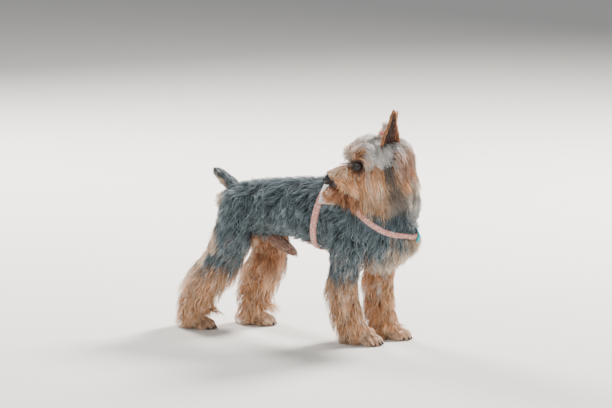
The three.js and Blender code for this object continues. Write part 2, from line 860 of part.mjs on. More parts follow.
const cheekGrown = cheekCore(GAP);
const headList = headLocks(head.add(cheekCore(0)));
const knot = largest(topknotSolid().subtract(headGrown));
const tie = hairTie();
const tieRoom = tube([[-11.8, 0, 33, 8.2, 8.2], [-12.2, 0, 37, 8.2, 8.2]], { sides: 12 });
const knotGrown = join([topknotSolid(GAP), tieRoom]);
const backToHead = toRow.clone().invert();
const inHead = (made) => made.transform([...backToHead.elements]);
const bodyInHead = inHead(join([grownCore, harnessGrown]));
const jawList = jawLocks(jawCore(0));
const jawWhole = join([jawCore(0), ...layLocks(jawList)]);
const jawSolid = largest(jawWhole.subtract(join([headGrown, cheekGrown, bodyInHead])));
const jawKeep = join([jawGap, ...layLocks(jawList, GAP)]);
const keptFree = join([earsGrown, knotGrown, bodyInHead, jawKeep, noseGrown, ...sockets]);
const headHair = join([cheekCore(0), ...layLocks(headList)]).subtract(keptFree);
const headBare = join([head, ...SIDES.map(lids)]).subtract(join([noseGrown, ...sockets]));
const headSolid = largest(headBare.add(headHair));
const headHairGrown = join([cheekGrown, ...layLocks(headList, GAP)]);
const headKeep = inRow(join([headGrown, headHairGrown, jawKeep, earsGrown]));

// Body, modelled whole and parted with thin cuts
const CUT = GAP;
const list = bodyLocks(core);
const hair = join(layLocks(list)).subtract(headKeep);
const floor = block([0, 0, -50], [900, 400, 100]);
const bare = core.subtract(inRow(join([headGrown, jawGap])));
const whole = bare.add(hair).subtract(join([harnessGrown, floor]));

// Three thin slabs that free the top of a leg: above it, along its inner side and in front of it
function legCuts(side, { back, front, inner, top, low, outer = 76 }) {
  const wide = outer - inner;
  const [x, y, z] = [(back + front) / 2, side * (inner + wide / 2), (top + low) / 2];
  return [
    block([x, y, top], [front - back + CUT, wide + CUT, CUT]),
    block([x, side * inner, z], [front - back + CUT, CUT, top - low + CUT]),
    block([front, y, z], [CUT, wide + CUT, top - low + CUT]),
  ];
}

const cuts = join([
  block(LOOP.centre, [170, 150, CUT], LOOP_TILT, LOOP_ROLL),
  block(GIRTH.centre, [CUT, 170, 190], GIRTH_TILT),
  block([-112, 0, 193], [CUT, 46, 46], 36),
  ...[-1, 1].flatMap((s) => [
    ...legCuts(s, { back: 40, front: 150, inner: 13, top: 108, low: 80 }),
    ...legCuts(s, { back: -175, front: s > 0 ? -42 : -56, inner: 14, top: 140, low: 95 }),
    block([95, 30 * s, 30], [120, 62, CUT]),
  ]),
  block([-116, -40, 90], [CUT, 80, 120], -46),
  block([-78, 40, 88], [CUT, 80, 90], -68),
  block([-152, -40, 34], [70, 80, CUT]),
  block([-95, 40, 34], [70, 80, CUT]),
  block([92, 0, 46], [150, CUT, 96]),
  block([-118, 0, 60], [124, CUT, 124]),
]);
const parts = whole.subtract(cuts).decompose();

// A part is found by a point inside it
const SEEDS = {
  neck: [129, 0, 205],
  chest: [90, 0, 160],
  loin: [-40, 0, 165],
  tail: [-122, 0, 200],
  fore_right: [84, -31, 80],
  fore_left: [98, 31, 80],
  paw_fore_right: [100, -24, 9],
  paw_fore_left: [116, 26, 9],
  thigh_right: [-96, -33, 124],
  thigh_left: [-72, 32, 122],
  shank_right: [-140, -35, 62],
  shank_left: [-92, 30, 62],
  paw_hind_right: [-145, -33, 9],
  paw_hind_left: [-86, 26, 9],
};
function partAt(point) {
  const probe = ball(point, [1, 1, 1], { across: 5, down: 3 });
  return parts.find((p) => p.intersect(probe).volume() > 0.5);
}

// Finish: colours, names and the scene graph
const LOOK = {
  steel_blue: { color: 0x5d6e75, roughness: 0.85 },
  tan: { color: 0xc98d5e, roughness: 0.85 },
  silver: { color: 0xbfc2bd, roughness: 0.85 },
  nose: { color: 0x14181a, roughness: 0.4 },
  eye: { color: 0x171d20, roughness: 0.1 },
  strap: { color: 0xd99a92, roughness: 0.8 },
  pad: { color: 0xe9e4e2, roughness: 0.8 },
  buckle: { color: 0x2fd0dc, roughness: 0.4 },
  tie: { color: 0xd93a4c, roughness: 0.7 },
};
const group = new THREE.Group();
function place(name, made, look) {
  const geometry = geometryOf(made).toNonIndexed();
  geometry.computeVertexNormals();
  const mesh = new THREE.Mesh(geometry, new THREE.MeshStandardMaterial({ ...LOOK[look], metalness: 0 }));
  mesh.name = name;
  group.add(mesh);
}

place("head", inRow(headSolid), "silver");
place("jaw", inRow(jawSolid), "tan");
place("nose", inRow(largest(nose)), "nose");
place("ear_left", inRow(largest(earLeft)), "tan");
place("ear_right", inRow(largest(earRight)), "tan");
place("topknot", inRow(knot), "silver");
eyes.forEach((eye, i) => place(i ? "eye_right" : "eye_left", inRow(eye), "eye"));
place("hair_tie", inRow(tie), "tie");
place("girth_strap", girth, "strap");
place("neck_strap", loop, "strap");
const straps = join([girthGrown, loopGrown]);
place("back_pad", largest(trims.back_pad(0).subtract(straps)), "pad");
place("buckle", largest(trims.buckle(0).subtract(straps)), "buckle");
for (const [name, point] of Object.entries(SEEDS)) {
  const made = partAt(point);
  if (!made) throw new Error("no part holds the point of " + name);
  const blue = ["chest", "loin", "neck", "tail", "thigh_right", "thigh_left"].includes(name);
  place(name, made, blue ? "steel_blue" : "tan");
}

// The row's origin: the middle of the foot of the whole box
const box = new THREE.Box3().setFromObject(group);
const middle = box.getCenter(new THREE.Vector3());
group.children.forEach((mesh) => mesh.geometry.translate(-middle.x, -middle.y, -box.min.z));

export default group;
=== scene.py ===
# The looks of the yorkshire terrier: skin, coat, eyes, nose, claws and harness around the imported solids.
# Shapes are worked out in millimetres in a frame whose origin is the middle of the four feet,
# +X to the chest, +Y to the animal's left, +Z up, and put() turns them into the row's metres.
from math import cos, pi, radians, sin, sqrt

import bpy
import numpy as np
from mathutils import Matrix, Vector
from mathutils.bvhtree import BVHTree


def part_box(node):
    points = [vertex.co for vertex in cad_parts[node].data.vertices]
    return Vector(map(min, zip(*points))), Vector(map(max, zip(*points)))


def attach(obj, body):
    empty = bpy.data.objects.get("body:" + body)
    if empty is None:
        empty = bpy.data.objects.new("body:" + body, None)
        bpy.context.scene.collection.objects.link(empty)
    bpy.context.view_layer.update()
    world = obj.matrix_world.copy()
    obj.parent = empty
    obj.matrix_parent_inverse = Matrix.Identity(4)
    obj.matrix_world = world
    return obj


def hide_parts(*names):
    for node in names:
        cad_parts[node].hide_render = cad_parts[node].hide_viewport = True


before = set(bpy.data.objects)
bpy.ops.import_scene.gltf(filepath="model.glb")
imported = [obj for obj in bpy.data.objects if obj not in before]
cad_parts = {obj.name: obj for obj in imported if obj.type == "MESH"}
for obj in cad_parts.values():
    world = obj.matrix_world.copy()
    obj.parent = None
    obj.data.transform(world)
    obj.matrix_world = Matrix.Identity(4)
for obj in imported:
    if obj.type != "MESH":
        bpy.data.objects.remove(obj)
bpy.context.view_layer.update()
rng = np.random.default_rng(11)
SIDES = (1, -1)

# Head frame: +X to the nose, +Y to its left, +Z up
HEAD_AT = np.array([111.0, -17.0, 239.0])
YAW = radians(-142)
HEAD_AXES = np.array([[cos(YAW), sin(YAW), 0], [-sin(YAW), cos(YAW), 0], [0, 0, 1]])
EYE_AT = np.array([26.5, 13.2, -4.0])
EYE_RADIUS = 6.2


def out_of_head(p):
    return np.asarray(p, float) @ HEAD_AXES + HEAD_AT


def into_head(p):
    return (np.asarray(p, float) - HEAD_AT) @ HEAD_AXES.T


def turn_out_of_head(v):
    return np.asarray(v, float) @ HEAD_AXES


# The row's origin, found from the left eye, which both frames know
OFFSET = np.array(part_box("eye_left")).mean(axis=0) - out_of_head(EYE_AT) / 1000


def put(p):
    return np.asarray(p, float) / 1000 + OFFSET


def unit(v):
    return v / np.maximum(np.linalg.norm(v, axis=-1, keepdims=True), 1e-9)


def smooth(x, low, high):
    t = np.clip((np.asarray(x, float) - low) / (high - low), 0, 1)
    return t * t * (3 - 2 * t)


def mix(a, b, t):
    return a + (b - a) * t


def rows(*columns):
    """Vectors from their columns, where a column may be a single number."""
    return np.stack(np.broadcast_arrays(*columns), axis=-1)


def bump_at(x, width):
    """A soft bump: 1 where x is 0, fading over the width."""
    return np.exp(-((x / width) ** 2))


# Meshes


def placed(name, data):
    item = bpy.data.objects.new(name, data)
    bpy.context.scene.collection.objects.link(item)
    return item


def make(name, points, faces, shade=True, ride=True):
    mesh = bpy.data.meshes.new(name)
    mesh.from_pydata([tuple(p) for p in put(points)], [], faces)
    mesh.update()
    if shade:
        mesh.polygons.foreach_set("use_smooth", [True] * len(mesh.polygons))
    piece = placed(name, mesh)
    if ride:
        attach(piece, "root")
    return piece


def dress(piece, material, slot, *nodes):
    """Gives a piece its material, and names the solids whose looks it takes over; its slot is not used."""
    piece.data.materials.append(material)
    if nodes:
        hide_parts(*nodes)
    return piece


def store_tint(mesh, tint):
    """Keeps a colour for each point, where the coat's and the skin's materials read it."""
    tint = np.concatenate([tint.reshape(-1, 3), np.ones((tint.size // 3, 1))], axis=1)
    mesh.attributes.new("tint", "FLOAT_COLOR", "POINT").data.foreach_set("color", tint.ravel())


def map_weave(piece, uv):
    """Lays the map of the weave over a strap or band, from a value for each point."""
    layer = piece.data.uv_layers.new(name="weave")
    for poly in piece.data.polygons:
        for loop, vertex in zip(poly.loop_indices, poly.vertices):
            layer.data[loop].uv = uv[vertex]


def ring_faces(count, sides, closed=False, ends=False):
    faces = []
    for r in range(count if closed else count - 1):
        for i in range(sides):
            a, b = r * sides + i, r * sides + (i + 1) % sides
            c, d = ((r + 1) % count) * sides + i, ((r + 1) % count) * sides + (i + 1) % sides
            faces.append((a, b, d, c))
    if ends:
        faces.append(tuple(range(sides - 1, -1, -1)))
        faces.append(tuple((count - 1) * sides + i for i in range(sides)))
    return faces


def tube(stops, sides=20, lateral=(0, 1, 0), rounds=4, caps=3, thinnest=1.5):
    """Points and faces of a limb: each stop is x, y, z, lateral radius, other radius."""
    s = np.array(stops, float)
    t = np.linspace(0, len(s) - 1, (len(s) - 1) * rounds + 1)
    s = np.stack([np.interp(t, np.arange(len(s)), s[:, k]) for k in range(5)], axis=1)
    for _ in range(2 * rounds):
        s[1:-1] = 0.25 * s[:-2] + 0.5 * s[1:-1] + 0.25 * s[2:]
    at, radii = s[:, :3], np.maximum(s[:, 3:5], thinnest)
    along = unit(np.gradient(at, axis=0))
    side = np.array(lateral, float)
    u = unit(side - (along @ side)[:, None] * along)
    v = np.cross(along, u)
    points = []
    for k in range(-caps, len(s) + caps):
        j = min(max(k, 0), len(s) - 1)
        bend = abs(k - j) / (caps + 0.3) * pi / 2
        c = at[j] + along[j] * (np.sign(k - j) * radii[j].min() * sin(bend))
        r = radii[j] * max(cos(bend), 0.08)
        points += [c + u[j] * cos(a) * r[0] + v[j] * sin(a) * r[1] for a in np.arange(sides) * 2 * pi / sides]
    return np.array(points), ring_faces(len(points) // sides, sides, ends=True)


def ball(centre, radii, across=28, down=18):
    points = []
    for r in range(1, down):
        a = pi * r / down
        for i in range(across):
            b = 2 * pi * i / across
            points.append((cos(b) * sin(a), sin(b) * sin(a), cos(a)))
    faces = [tuple(reversed(f)) for f in ring_faces(down - 1, across)]
    top, low, last = len(points), len(points) + 1, (down - 2) * across
    points += [(0, 0, 1), (0, 0, -1)]
    faces += [(top, i, (i + 1) % across) for i in range(across)]
    faces += [(low, last + (i + 1) % across, last + i) for i in range(across)]
    return np.array(points) * np.array(radii) + np.array(centre), faces


def joined(forms):
    points, faces, base = [], [], 0
    for p, f in forms:
        points.append(np.asarray(p, float))
        faces += [tuple(base + i for i in face) for face in f]
        base += len(p)
    return np.concatenate(points), faces


def applied(piece):
    """The piece's mesh with its modifiers in it."""
    graph = bpy.context.evaluated_depsgraph_get()
    mesh = bpy.data.meshes.new_from_object(piece.evaluated_get(graph))
    old = piece.data
    piece.modifiers.clear()
    piece.data = mesh
    bpy.data.meshes.remove(old)
    return mesh


def read(items, key, kind=float):
    """Three numbers for each item of a mesh."""
    values = np.empty(len(items) * 3, kind)
    items.foreach_get(key, values)
    return values.reshape(-1, 3)


def points_of(mesh):
    return (read(mesh.vertices, "co") - OFFSET) * 1000


# Flesh: the same forms as the solids, drawn in by the depth of the coat

COAT = 10.5
# The trunk's stops: x, back, belly, half width
TRUNK = [
    (-121, 184, 152, 20), (-114, 196, 140, 33), (-97, 201, 129, 42), (-70, 204, 126, 44), (-40, 208, 127, 41),
    (-5, 212, 123, 42), (38, 217, 111, 47), (82, 217, 98, 49), (108, 208, 95, 48), (130, 192, 99, 43),
    (147, 174, 108, 33), (156, 160, 122, 20),
]
trunk_stops = [(x, 0, (a + b) / 2, w - COAT, (a - b) / 2 - COAT) for x, a, b, w in TRUNK]
trunk_stops = [(x * 0.96, y, z, max(w, 10), max(h, 10)) for x, y, z, w, h in trunk_stops]
NECK = [
    (104, 0, 140, 29, 31), (114, 2, 165, 28, 29), (122, 2, 190, 24, 25), (124, -4, 214, 21, 22),
    (119, -10, 236, 18, 19),
]
TAIL = [(-96, 0, 180, 8, 8.5), (-111, 0, 191, 6.5, 7), (-124, 0, 201, 5.2, 5.5), (-132, 0, 207, 3.6, 3.8)]
SHEATH = [(-62, 0, 134, 9, 8), (-44, 0, 123, 8.5, 8.5), (-26, 0, 112, 7.4, 7.4), (-19, 0, 107.5, 5.4, 5.4)]
FORE_RADII = [(14, 22), (12, 18), (9.5, 13), (8, 9.5), (7.5, 8.5), (7.5, 8.5), (8.5, 9)]
HIND_RADII = [(14, 22), (14, 24), (12, 20), (9.5, 14), (7.5, 10), (6.5, 8), (6.5, 8), (8, 8.5)]
LEG_PATHS = {
    "fore_right": [
        (82, -29, 150), (77, -31, 124), (74, -32, 102), (73, -31, 76), (76, -28, 50), (81, -26, 28), (90, -24, 12),
    ],
    "fore_left": [
        (94, 29, 150), (93, 31, 124), (94, 32, 102), (96, 31, 76), (98, 28, 50), (102, 27, 28), (108, 26, 12),
    ],
    "hind_right": [
        (-82, -24, 168), (-88, -28, 140), (-99, -32, 112), (-118, -34, 86), (-138, -34, 62), (-151, -34, 42),
        (-155, -33, 24), (-153, -33, 11),
    ],
    "hind_left": [
        (-78, 24, 168), (-74, 28, 140), (-69, 31, 112), (-75, 31, 87), (-88, 29, 65), (-96, 28, 46),
        (-97, 27, 26), (-94, 26, 11),
    ],
}
LEGS = {
    name: [(*at, *radii) for at, radii in zip(path, FORE_RADII if "fore" in name else HIND_RADII)]
    for name, path in LEG_PATHS.items()
}
PAWS = {"fore_right": (98, -24), "fore_left": (115, 26), "hind_right": (-145, -33), "hind_left": (-86, 26)}
LEG_NAMES = list(LEGS)


def paw_forms(name):
    """The pad of a paw and its four toes, flat on the floor."""
    x, y = PAWS[name]
    forms = [tube([(x - 14, y, 8, 7.5, 6.5), (x - 4, y, 9, 10, 8.5), (x + 6, y, 8, 11, 7.5)])]
    for across, reach in ((-8.2, 10), (-3.0, 15), (3.0, 15), (8.2, 10)):
        forms.append(ball((x + reach, y + across, 6.2), (8.5, 4.2, 5.6), 18, 12))
    return forms


def claw_forms(name):
    x, y = PAWS[name]
    forms = []
    for across, reach in ((-8.8, 17.5), (-3.2, 23), (3.2, 23), (8.8, 17.5)):
        root, side = x + reach, y + across
        stops = [(root - 3, side, 6.5, 1.7, 1.9), (root, side, 5.2, 1.3, 1.5), (root + 2.6, side, 2.6, 0.6, 0.7)]
        forms.append(tube(stops, sides=10, rounds=2))
    return forms


# Head, in its own frame
NOSE_AT = np.array([64.0, 0, -21.8])
MUZZLE = [
    (4, 0, -13, 20, 17), (26, 0, -16, 14.5, 13), (44, 0, -18.5, 11, 10), (55, 0, -20.5, 9.5, 8.5),
    (60, 0, -21.5, 7.5, 7),
]
JAW = [(-4, 0, -26, 17, 10), (22, 0, -31.5, 11, 6.5), (42, 0, -33, 9, 5.6), (57, 0, -33, 7, 5)]
SKULL = ((-3, 0, 1), (31, 24.5, 25))
CHEEK, BROW, SOCKET = ((5, 13, -13), (19, 12, 15)), ((23, 9, 6), (11, 8.5, 7.5)), ((20, 10, -7), (11, 7.8, 9))


def head_forms():
    forms = [ball(*SKULL), tube(MUZZLE), tube(JAW)]
    for s in SIDES:
        forms += [ball((x, y * s, z), radii) for (x, y, z), radii in (CHEEK, BROW, SOCKET)]
    return [(out_of_head(p), f) for p, f in forms]


def mouth_height(x):
    """Height of the mouth's line along the muzzle, in the head's frame."""
    return -29.2 - 3.0 * smooth(64 - np.asarray(x, float), 0, 36)


def curtain_end(x):
    """Height to which the hair of the upper lip hangs."""
    return -31.0 - 21.0 * smooth(69 - x, 0, 40)


def beard_end(x):
    """Height to which the beard hangs."""
    return np.interp(x, [-30, -15, -2, 20, 48, 60, 68, 72], [-60, -72, -80, -76, -65, -50, -40, -36])


VOXEL, SOFT_ROUNDS = 0.0019, 7
SOCKET_GAP, SOCKET_DEPTH = 0.3, 2.0
MOUTH_WIDTH, MOUTH_DEPTH = 1.3, 1.6


def make_skin():
    forms = [tube(trunk_stops, 40), tube(NECK, 32), tube(TAIL, 16), tube(SHEATH, 20)] + head_forms()
    for name in LEG_NAMES:
        forms.append(tube(LEGS[name], 24))
        forms += paw_forms(name)
    piece = make("skin", *joined(forms))
    voxel = piece.modifiers.new("one body", "REMESH")
    voxel.mode = "VOXEL"
    voxel.voxel_size = VOXEL
    soft = piece.modifiers.new("soft", "SMOOTH")
    soft.factor = 0.5
    soft.iterations = SOFT_ROUNDS
    mesh = applied(piece)
    p = points_of(mesh)
    # Eye sockets, the line of the mouth and level soles
    q = into_head(p)
    for s in SIDES:
        away = from_eye(q, s)
        near = np.linalg.norm(away, axis=1)
        look = np.array([0.56, 0.83 * s, 0.0])
        hit = (near < EYE_RADIUS + SOCKET_GAP) & (away @ look > 1.5)
        q[hit] -= look * (EYE_RADIUS + SOCKET_DEPTH - near[hit])[:, None]
    groove = bump_at(q[:, 2] - mouth_height(q[:, 0]), MOUTH_WIDTH) * smooth(q[:, 0], 22, 30)
    q[:, 1] -= np.sign(q[:, 1]) * groove * MOUTH_DEPTH
    p = np.where((np.abs(q[:, 0]) < 80)[:, None] & (p[:, 2] > 150)[:, None], out_of_head(q), p)
    p[:, 2] = np.maximum(p[:, 2], 0.25)
    mesh.vertices.foreach_set("co", put(p).ravel())
    mesh.update()
    mesh.polygons.foreach_set("use_smooth", [True] * len(mesh.polygons))
    return piece


# Where a point of the skin belongs


def tube_place(p, stops):
    """For each point: distance over radius, place along the path, and the path's nearest point and way."""
    s = np.array(stops, float)
    best = np.full(len(p), 1e9)
    place = np.zeros(len(p))
    at, way = np.zeros_like(p), np.zeros_like(p)
    for k in range(len(s) - 1):
        a, d = s[k, :3], s[k + 1, :3] - s[k, :3]
        t = np.clip((p - a) @ d / (d @ d), 0, 1)
        c = a + t[:, None] * d
        r = mix(s[k, 3:5].mean(), s[k + 1, 3:5].mean(), t)
        ratio = np.linalg.norm(p - c, axis=1) / r
        take = ratio < best
        best[take], place[take] = ratio[take], (k + t[take]) / (len(s) - 1)
        at[take], way[take] = c[take], d / np.linalg.norm(d)
    return best, place, at, way


def ball_place(p, centre, radii):
    return np.linalg.norm((p - centre) / radii, axis=1)


REGIONS = ["trunk", "neck", "head", "tail", "sheath"] + LEG_NAMES + ["paw_" + n for n in LEG_NAMES]
LEG_TOP, PAW_TOP, FAR = 135, 22, 1e6


def regions_of(p):
    q = into_head(p)
    head = [ball_place(q, *SKULL), tube_place(q, MUZZLE)[0], tube_place(q, JAW)[0]]
    for s in SIDES:
        head.append(ball_place(q, np.array(CHEEK[0]) * (1, s, 1), CHEEK[1]))
    scores = [tube_place(p, trunk_stops)[0], tube_place(p, NECK)[0], np.min(head, axis=0)]
    scores += [tube_place(p, TAIL)[0], tube_place(p, SHEATH)[0]]
    scores += [np.where(p[:, 2] > LEG_TOP, FAR, tube_place(p, LEGS[name])[0]) for name in LEG_NAMES]
    for x, y in PAWS.values():
        scores.append(np.where(p[:, 2] > PAW_TOP, FAR, ball_place(p, (x + 2, y, 7), (20, 12, 10))))
    return np.argmin(np.stack(scores), axis=0)


def wobble(p, size, seed):
    """Soft noise between about -1 and 1, from a few crossed waves."""
    r = np.random.default_rng(seed)
    out = np.zeros(len(p))
    for _ in range(6):
        k = r.normal(size=3) / size
        out += np.sin(p @ k * 2 * pi + r.uniform(0, 2 * pi))
    return out / 3


# Colours, as seen on the coat, in linear light, with painted shade at the roots and painted highlights at the tips


def srgb(*c):
    c = np.array(c) / 255
    return np.where(c <= 0.04045, c / 12.92, ((c + 0.055) / 1.055) ** 2.4)


BLUE, TAN, CREAM, SILVER, DARK, RUST, FLESH = range(7)
# Each colour at the root, the middle and the tip of a hair: the middle is the hair's own colour, the darker root
# is painted shade deep in the coat and the lighter tip is a painted highlight
COLOURS = srgb(
    [(15, 20, 25), (62, 79, 87), (168, 188, 196)],
    [(120, 70, 38), (208, 146, 96), (250, 222, 190)],
    [(150, 106, 76), (228, 194, 162), (252, 242, 228)],
    [(78, 72, 70), (206, 202, 198), (250, 250, 248)],
    [(16, 18, 21), (44, 52, 58), (124, 136, 142)],
    [(76, 38, 20), (158, 92, 50), (222, 166, 118)],
    [(120, 88, 76), (158, 124, 108), (214, 190, 168)],
)


def palette(weights):
    """Root, middle and tip colours for each row of weights: painted shade, own colour and painted highlight."""
    return [weights @ np.ascontiguousarray(COLOURS[:, k]) for k in range(3)]


def from_eye(q, side):
    """The way from the nearer eye to each point of the head."""
    return q - EYE_AT * rows(1, side, 1)


def blends(p, region):
    """How much of each of the colours above a point of the skin carries."""
    w = np.zeros((len(p), len(COLOURS)))
    x, y, z = p.T
    rag = 7 * wobble(p, 26, 3) + 3 * wobble(p, 9, 4)
    name = np.array(REGIONS)[region]
    q = into_head(p)
    hx, hy, hz = q.T

    def lay(mask, colour, share):
        share = np.where(mask, np.clip(share, 0, 1), 0)
        w[:] = w * (1 - share)[:, None]
        w[:, colour] += share

    def patches(size, seed, low, high):
        return smooth(wobble(p, size, seed), low, high)

    lay(True, BLUE, 1 + 0 * x)
    body = name == "trunk"
    lay(body, TAN, smooth(rag + 130 - z, 2, 12) * smooth(x, -30, 0) * 0.5)
    lay(body, RUST, smooth(134 + 0.5 * rag - z, -2, 8) * smooth(40 - x, 0, 25))
    lay(body, CREAM, smooth(x + 1.1 * (150 - z) + 1.4 * rag, 138, 166) * smooth(152 + rag - z, -6, 14) * 0.9)
    breast = smooth(x + 0.6 * rag, 60, 100)
    lay(body, SILVER, patches(12, 22, 0.35, 1.0) * breast * smooth(150 - z, -5, 20) * 0.6)
    lay(body, CREAM, smooth(-106 - x + 0.4 * rag, -3, 7) * smooth(190 - z, -4, 6))
    for k, leg in enumerate(LEG_NAMES):
        on, paw, fore = name == leg, name == "paw_" + leg, leg.startswith("fore")
        inner = smooth(31 - y * (1 if "left" in leg else -1), 0, 8)
        edge = (112 if "left" in leg else 96) + 60 * inner if fore else 97 + 80 * inner
        lay(on, TAN, smooth(edge + 1.2 * rag - z, -9, 11))
        lay(on, RUST, 0.6 * inner * smooth(z, 80, 110))
        lay(on, SILVER, 0.7 * patches(13, 50 + k, 0.2, 1) * smooth(z, 60, 80) * (1 if fore else 0.3))
        if not fore:
            behind = tube_place(p, LEGS[leg])[2][:, 0] - x
            lay(on, CREAM, smooth(behind + 0.5 * rag, 4, 11) * smooth(z, 24, 50))
        lay(on, CREAM, 0.5 * patches(14, 5 + k, 0.1, 1) * smooth(100 - z, 0, 20))
        lay(paw, TAN, 1)
        lay(paw, CREAM, 0.45 + 0.35 * patches(9, 60 + k, -0.3, 0.8))
    lay(name == "sheath", FLESH, 1)
    tail = name == "tail"
    lay(tail, DARK, smooth(-x, 98, 122) * 0.85)
    below = np.interp(-x, [96, 132], [180, 207]) - z
    lay(tail, CREAM, smooth(below + 0.3 * rag, 0, 4) * smooth(x + 132, 0, 10) * 0.9)
    neck = name == "neck"
    lay(neck, DARK, 0.35 + 0.45 * patches(20, 21, -0.6, 0.6))
    edge = (x - 118) * 0.79 + y * 0.61
    lay(neck, SILVER, smooth(edge + 0.6 * rag, 12, 22) * 0.6)
    lay(neck, CREAM, smooth(z + rag, 196, 222) * smooth(edge + 0.5 * rag, 6, 16) * 0.75)
    head = name == "head"
    lay(head, TAN, 1)
    lay(head, RUST, 0.75 * (patches(16, 31, -0.4, 0.9) * smooth(-hz, 6, 22) * smooth(hx, 0, 16)))
    lay(head, CREAM, 0.7 * patches(9, 32, 0.1, 0.9))
    top = smooth(hz + 1.3 * rag - 3 * smooth(hx, 14, 30), -5, 9)
    lay(head, SILVER, top * mix(1.0, 0.7, smooth(hx, 22, 34)))
    lay(head, CREAM, smooth(hx, 34, 46) * smooth(hz, -16, -8) * 0.7)
    lay(head, RUST, 0.85 * smooth(mouth_height(hx) - hz, -1, 2) * smooth(hx, 10, 24))
    band = smooth(5 - hx + 0.4 * rag, 0, 6) * smooth(hx + 15, -2, 5) * smooth(14 - hz + 0.4 * rag, 0, 8)
    lay(head, DARK, band * 0.8)
    curls = smooth(-13 - hx + 0.3 * rag, -2, 4) * smooth(hx + 34, 0, 4) * smooth(24 - hz, 0, 6)
    lay(head, RUST, curls * 0.75)
    lay(head, CREAM, smooth(-25 - hx + 0.4 * rag, 0, 6) * 0.85)
    lay(head, DARK, smooth(8.3 - np.linalg.norm(from_eye(q, np.sign(hy)), axis=1), 0, 1.6) * 0.85)
    nose = ball_place(q, NOSE_AT - (1.5, 0, 0), (11, 11, 10))
    lay(head, DARK, smooth(1.02 - nose, -0.05, 0.12) * 0.85)
    return w


# The way the hair lies, and how long it is

KNOT_AT = np.array([-12.0, 0.0, 34.0])


def head_flow(q, normal):
    """The lie of the head's hair, in the head's frame."""
    hx, hy, hz = q.T
    hs = np.sign(hy) + 1e-6
    h = np.zeros_like(q)
    h[:] = (-0.28, 0, -1.0)
    h[:, 1] += 0.12 * hs

    def lean(share, *way):
        h[:] = mix(h, rows(*way), share[:, None])

    # Bridge and tip of the muzzle, crown, the hair drawn up to the topknot, brow, nape, lip and chin
    top = smooth(normal[:, 2], 0.3, 0.75) * smooth(hx, 30, 36) * smooth(hz, -22, -14)
    middle = np.abs(hy)
    lean(top, 0.55 + 0.9 * smooth(5 - middle, 0, 4), 0.8 * hs * smooth(middle, 0, 4), 0)
    lean(0.7 * (top * smooth(hx, 42, 50)), 0.8, 0.45 * hs, 0.35)
    crown = smooth(hz, 1, 12) * smooth(38 - hx, -4, 6)
    lean(crown, -1.0, 0.4 * hs, 0.55 - 0.05 * middle * np.maximum(0, 28 - hx) / 10)
    drawn = smooth(9 - middle, -2, 5) * smooth(hz, 12, 20) * smooth(hx, -12, -4)
    lean(drawn * 0.9, *unit(KNOT_AT + (0, 0, 6) - q).T)
    tuft = smooth(hx, 25, 31) * smooth(hz, 0, 4) * smooth(15 - hz, 0, 4)
    lean(0.9 * tuft, 0.75, 0.35 * hs, 0.65)
    lean(smooth(-hx, 8, 20), -0.75, 0, -1.0)
    lip = smooth(hx, 22, 34) * smooth(hz, -30, -24) * smooth(-17 - hz, -2, 6)
    lean(0.8 * lip, -0.55, 0.25 * hs, -0.85)
    chin = smooth(hx, 40, 50) * smooth(mouth_height(hx) - hz, 0, 2)
    lean(0.9 * chin, 0.9, 0.3 * hs, -0.6)
    away = from_eye(q, hs)
    near = np.linalg.norm(away, axis=1)
    away[:, 0] += 1.5
    return mix(unit(h), unit(away), (smooth(13 - near, 0, 4) * 0.85)[:, None])


def flow(p, normal, region):
    """Which way the coat runs along the skin at each point."""
    x, y, _ = p.T
    side = np.sign(y) + 1e-6
    name = np.array(REGIONS)[region]
    d = np.zeros_like(p)
    flank = np.abs(normal[:, 1])
    trunk = name == "trunk"
    d[trunk] = rows(-1.0 + 0.45 * flank, 0.35 * side * (1 - flank), -0.15 - 0.95 * flank)[trunk]
    front = trunk & (x > 70)
    d[front] = mix(d, np.array([-0.25, 0, -1.0]), smooth(x, 70, 120)[:, None])[front]
    d[trunk & (x < -95)] = (-0.35, 0, -1.0)
    turn = 0.4 * wobble(p, 60, 41) + 0.4 * wobble(p, 22, 42)
    turned_x = d[:, 0] * np.cos(turn) + d[:, 2] * np.sin(turn)
    turned_z = d[:, 2] * np.cos(turn) - d[:, 0] * np.sin(turn)
    d[trunk] = rows(turned_x, d[:, 1], turned_z)[trunk]
    for part, way in (("neck", (-0.12, 0, -1.0)), ("sheath", (1.0, 0, -0.8)), ("tail", (-0.85, 0, 0.55))):
        d[name == part] = way
    for leg in LEG_NAMES:
        on = name == leg
        if on.any():
            d[on] = tube_place(p[on], LEGS[leg])[3] + np.array([-0.18, 0, -0.25]) + 0.25 * normal[on]
        d[name == "paw_" + leg] = (0.75, 0, -0.6)
    head = name == "head"
    if head.any():
        d[head] = turn_out_of_head(head_flow(into_head(p[head]), normal[head] @ HEAD_AXES.T))
    d -= np.sum(d * normal, axis=1, keepdims=True) * normal
    return unit(d)


# For each root: length, standing height, pull towards the form, freedom of the tip, fall, curl, width, density
GROWN = ("length", "depth", "hug", "free", "fall", "curl", "width", "dense")


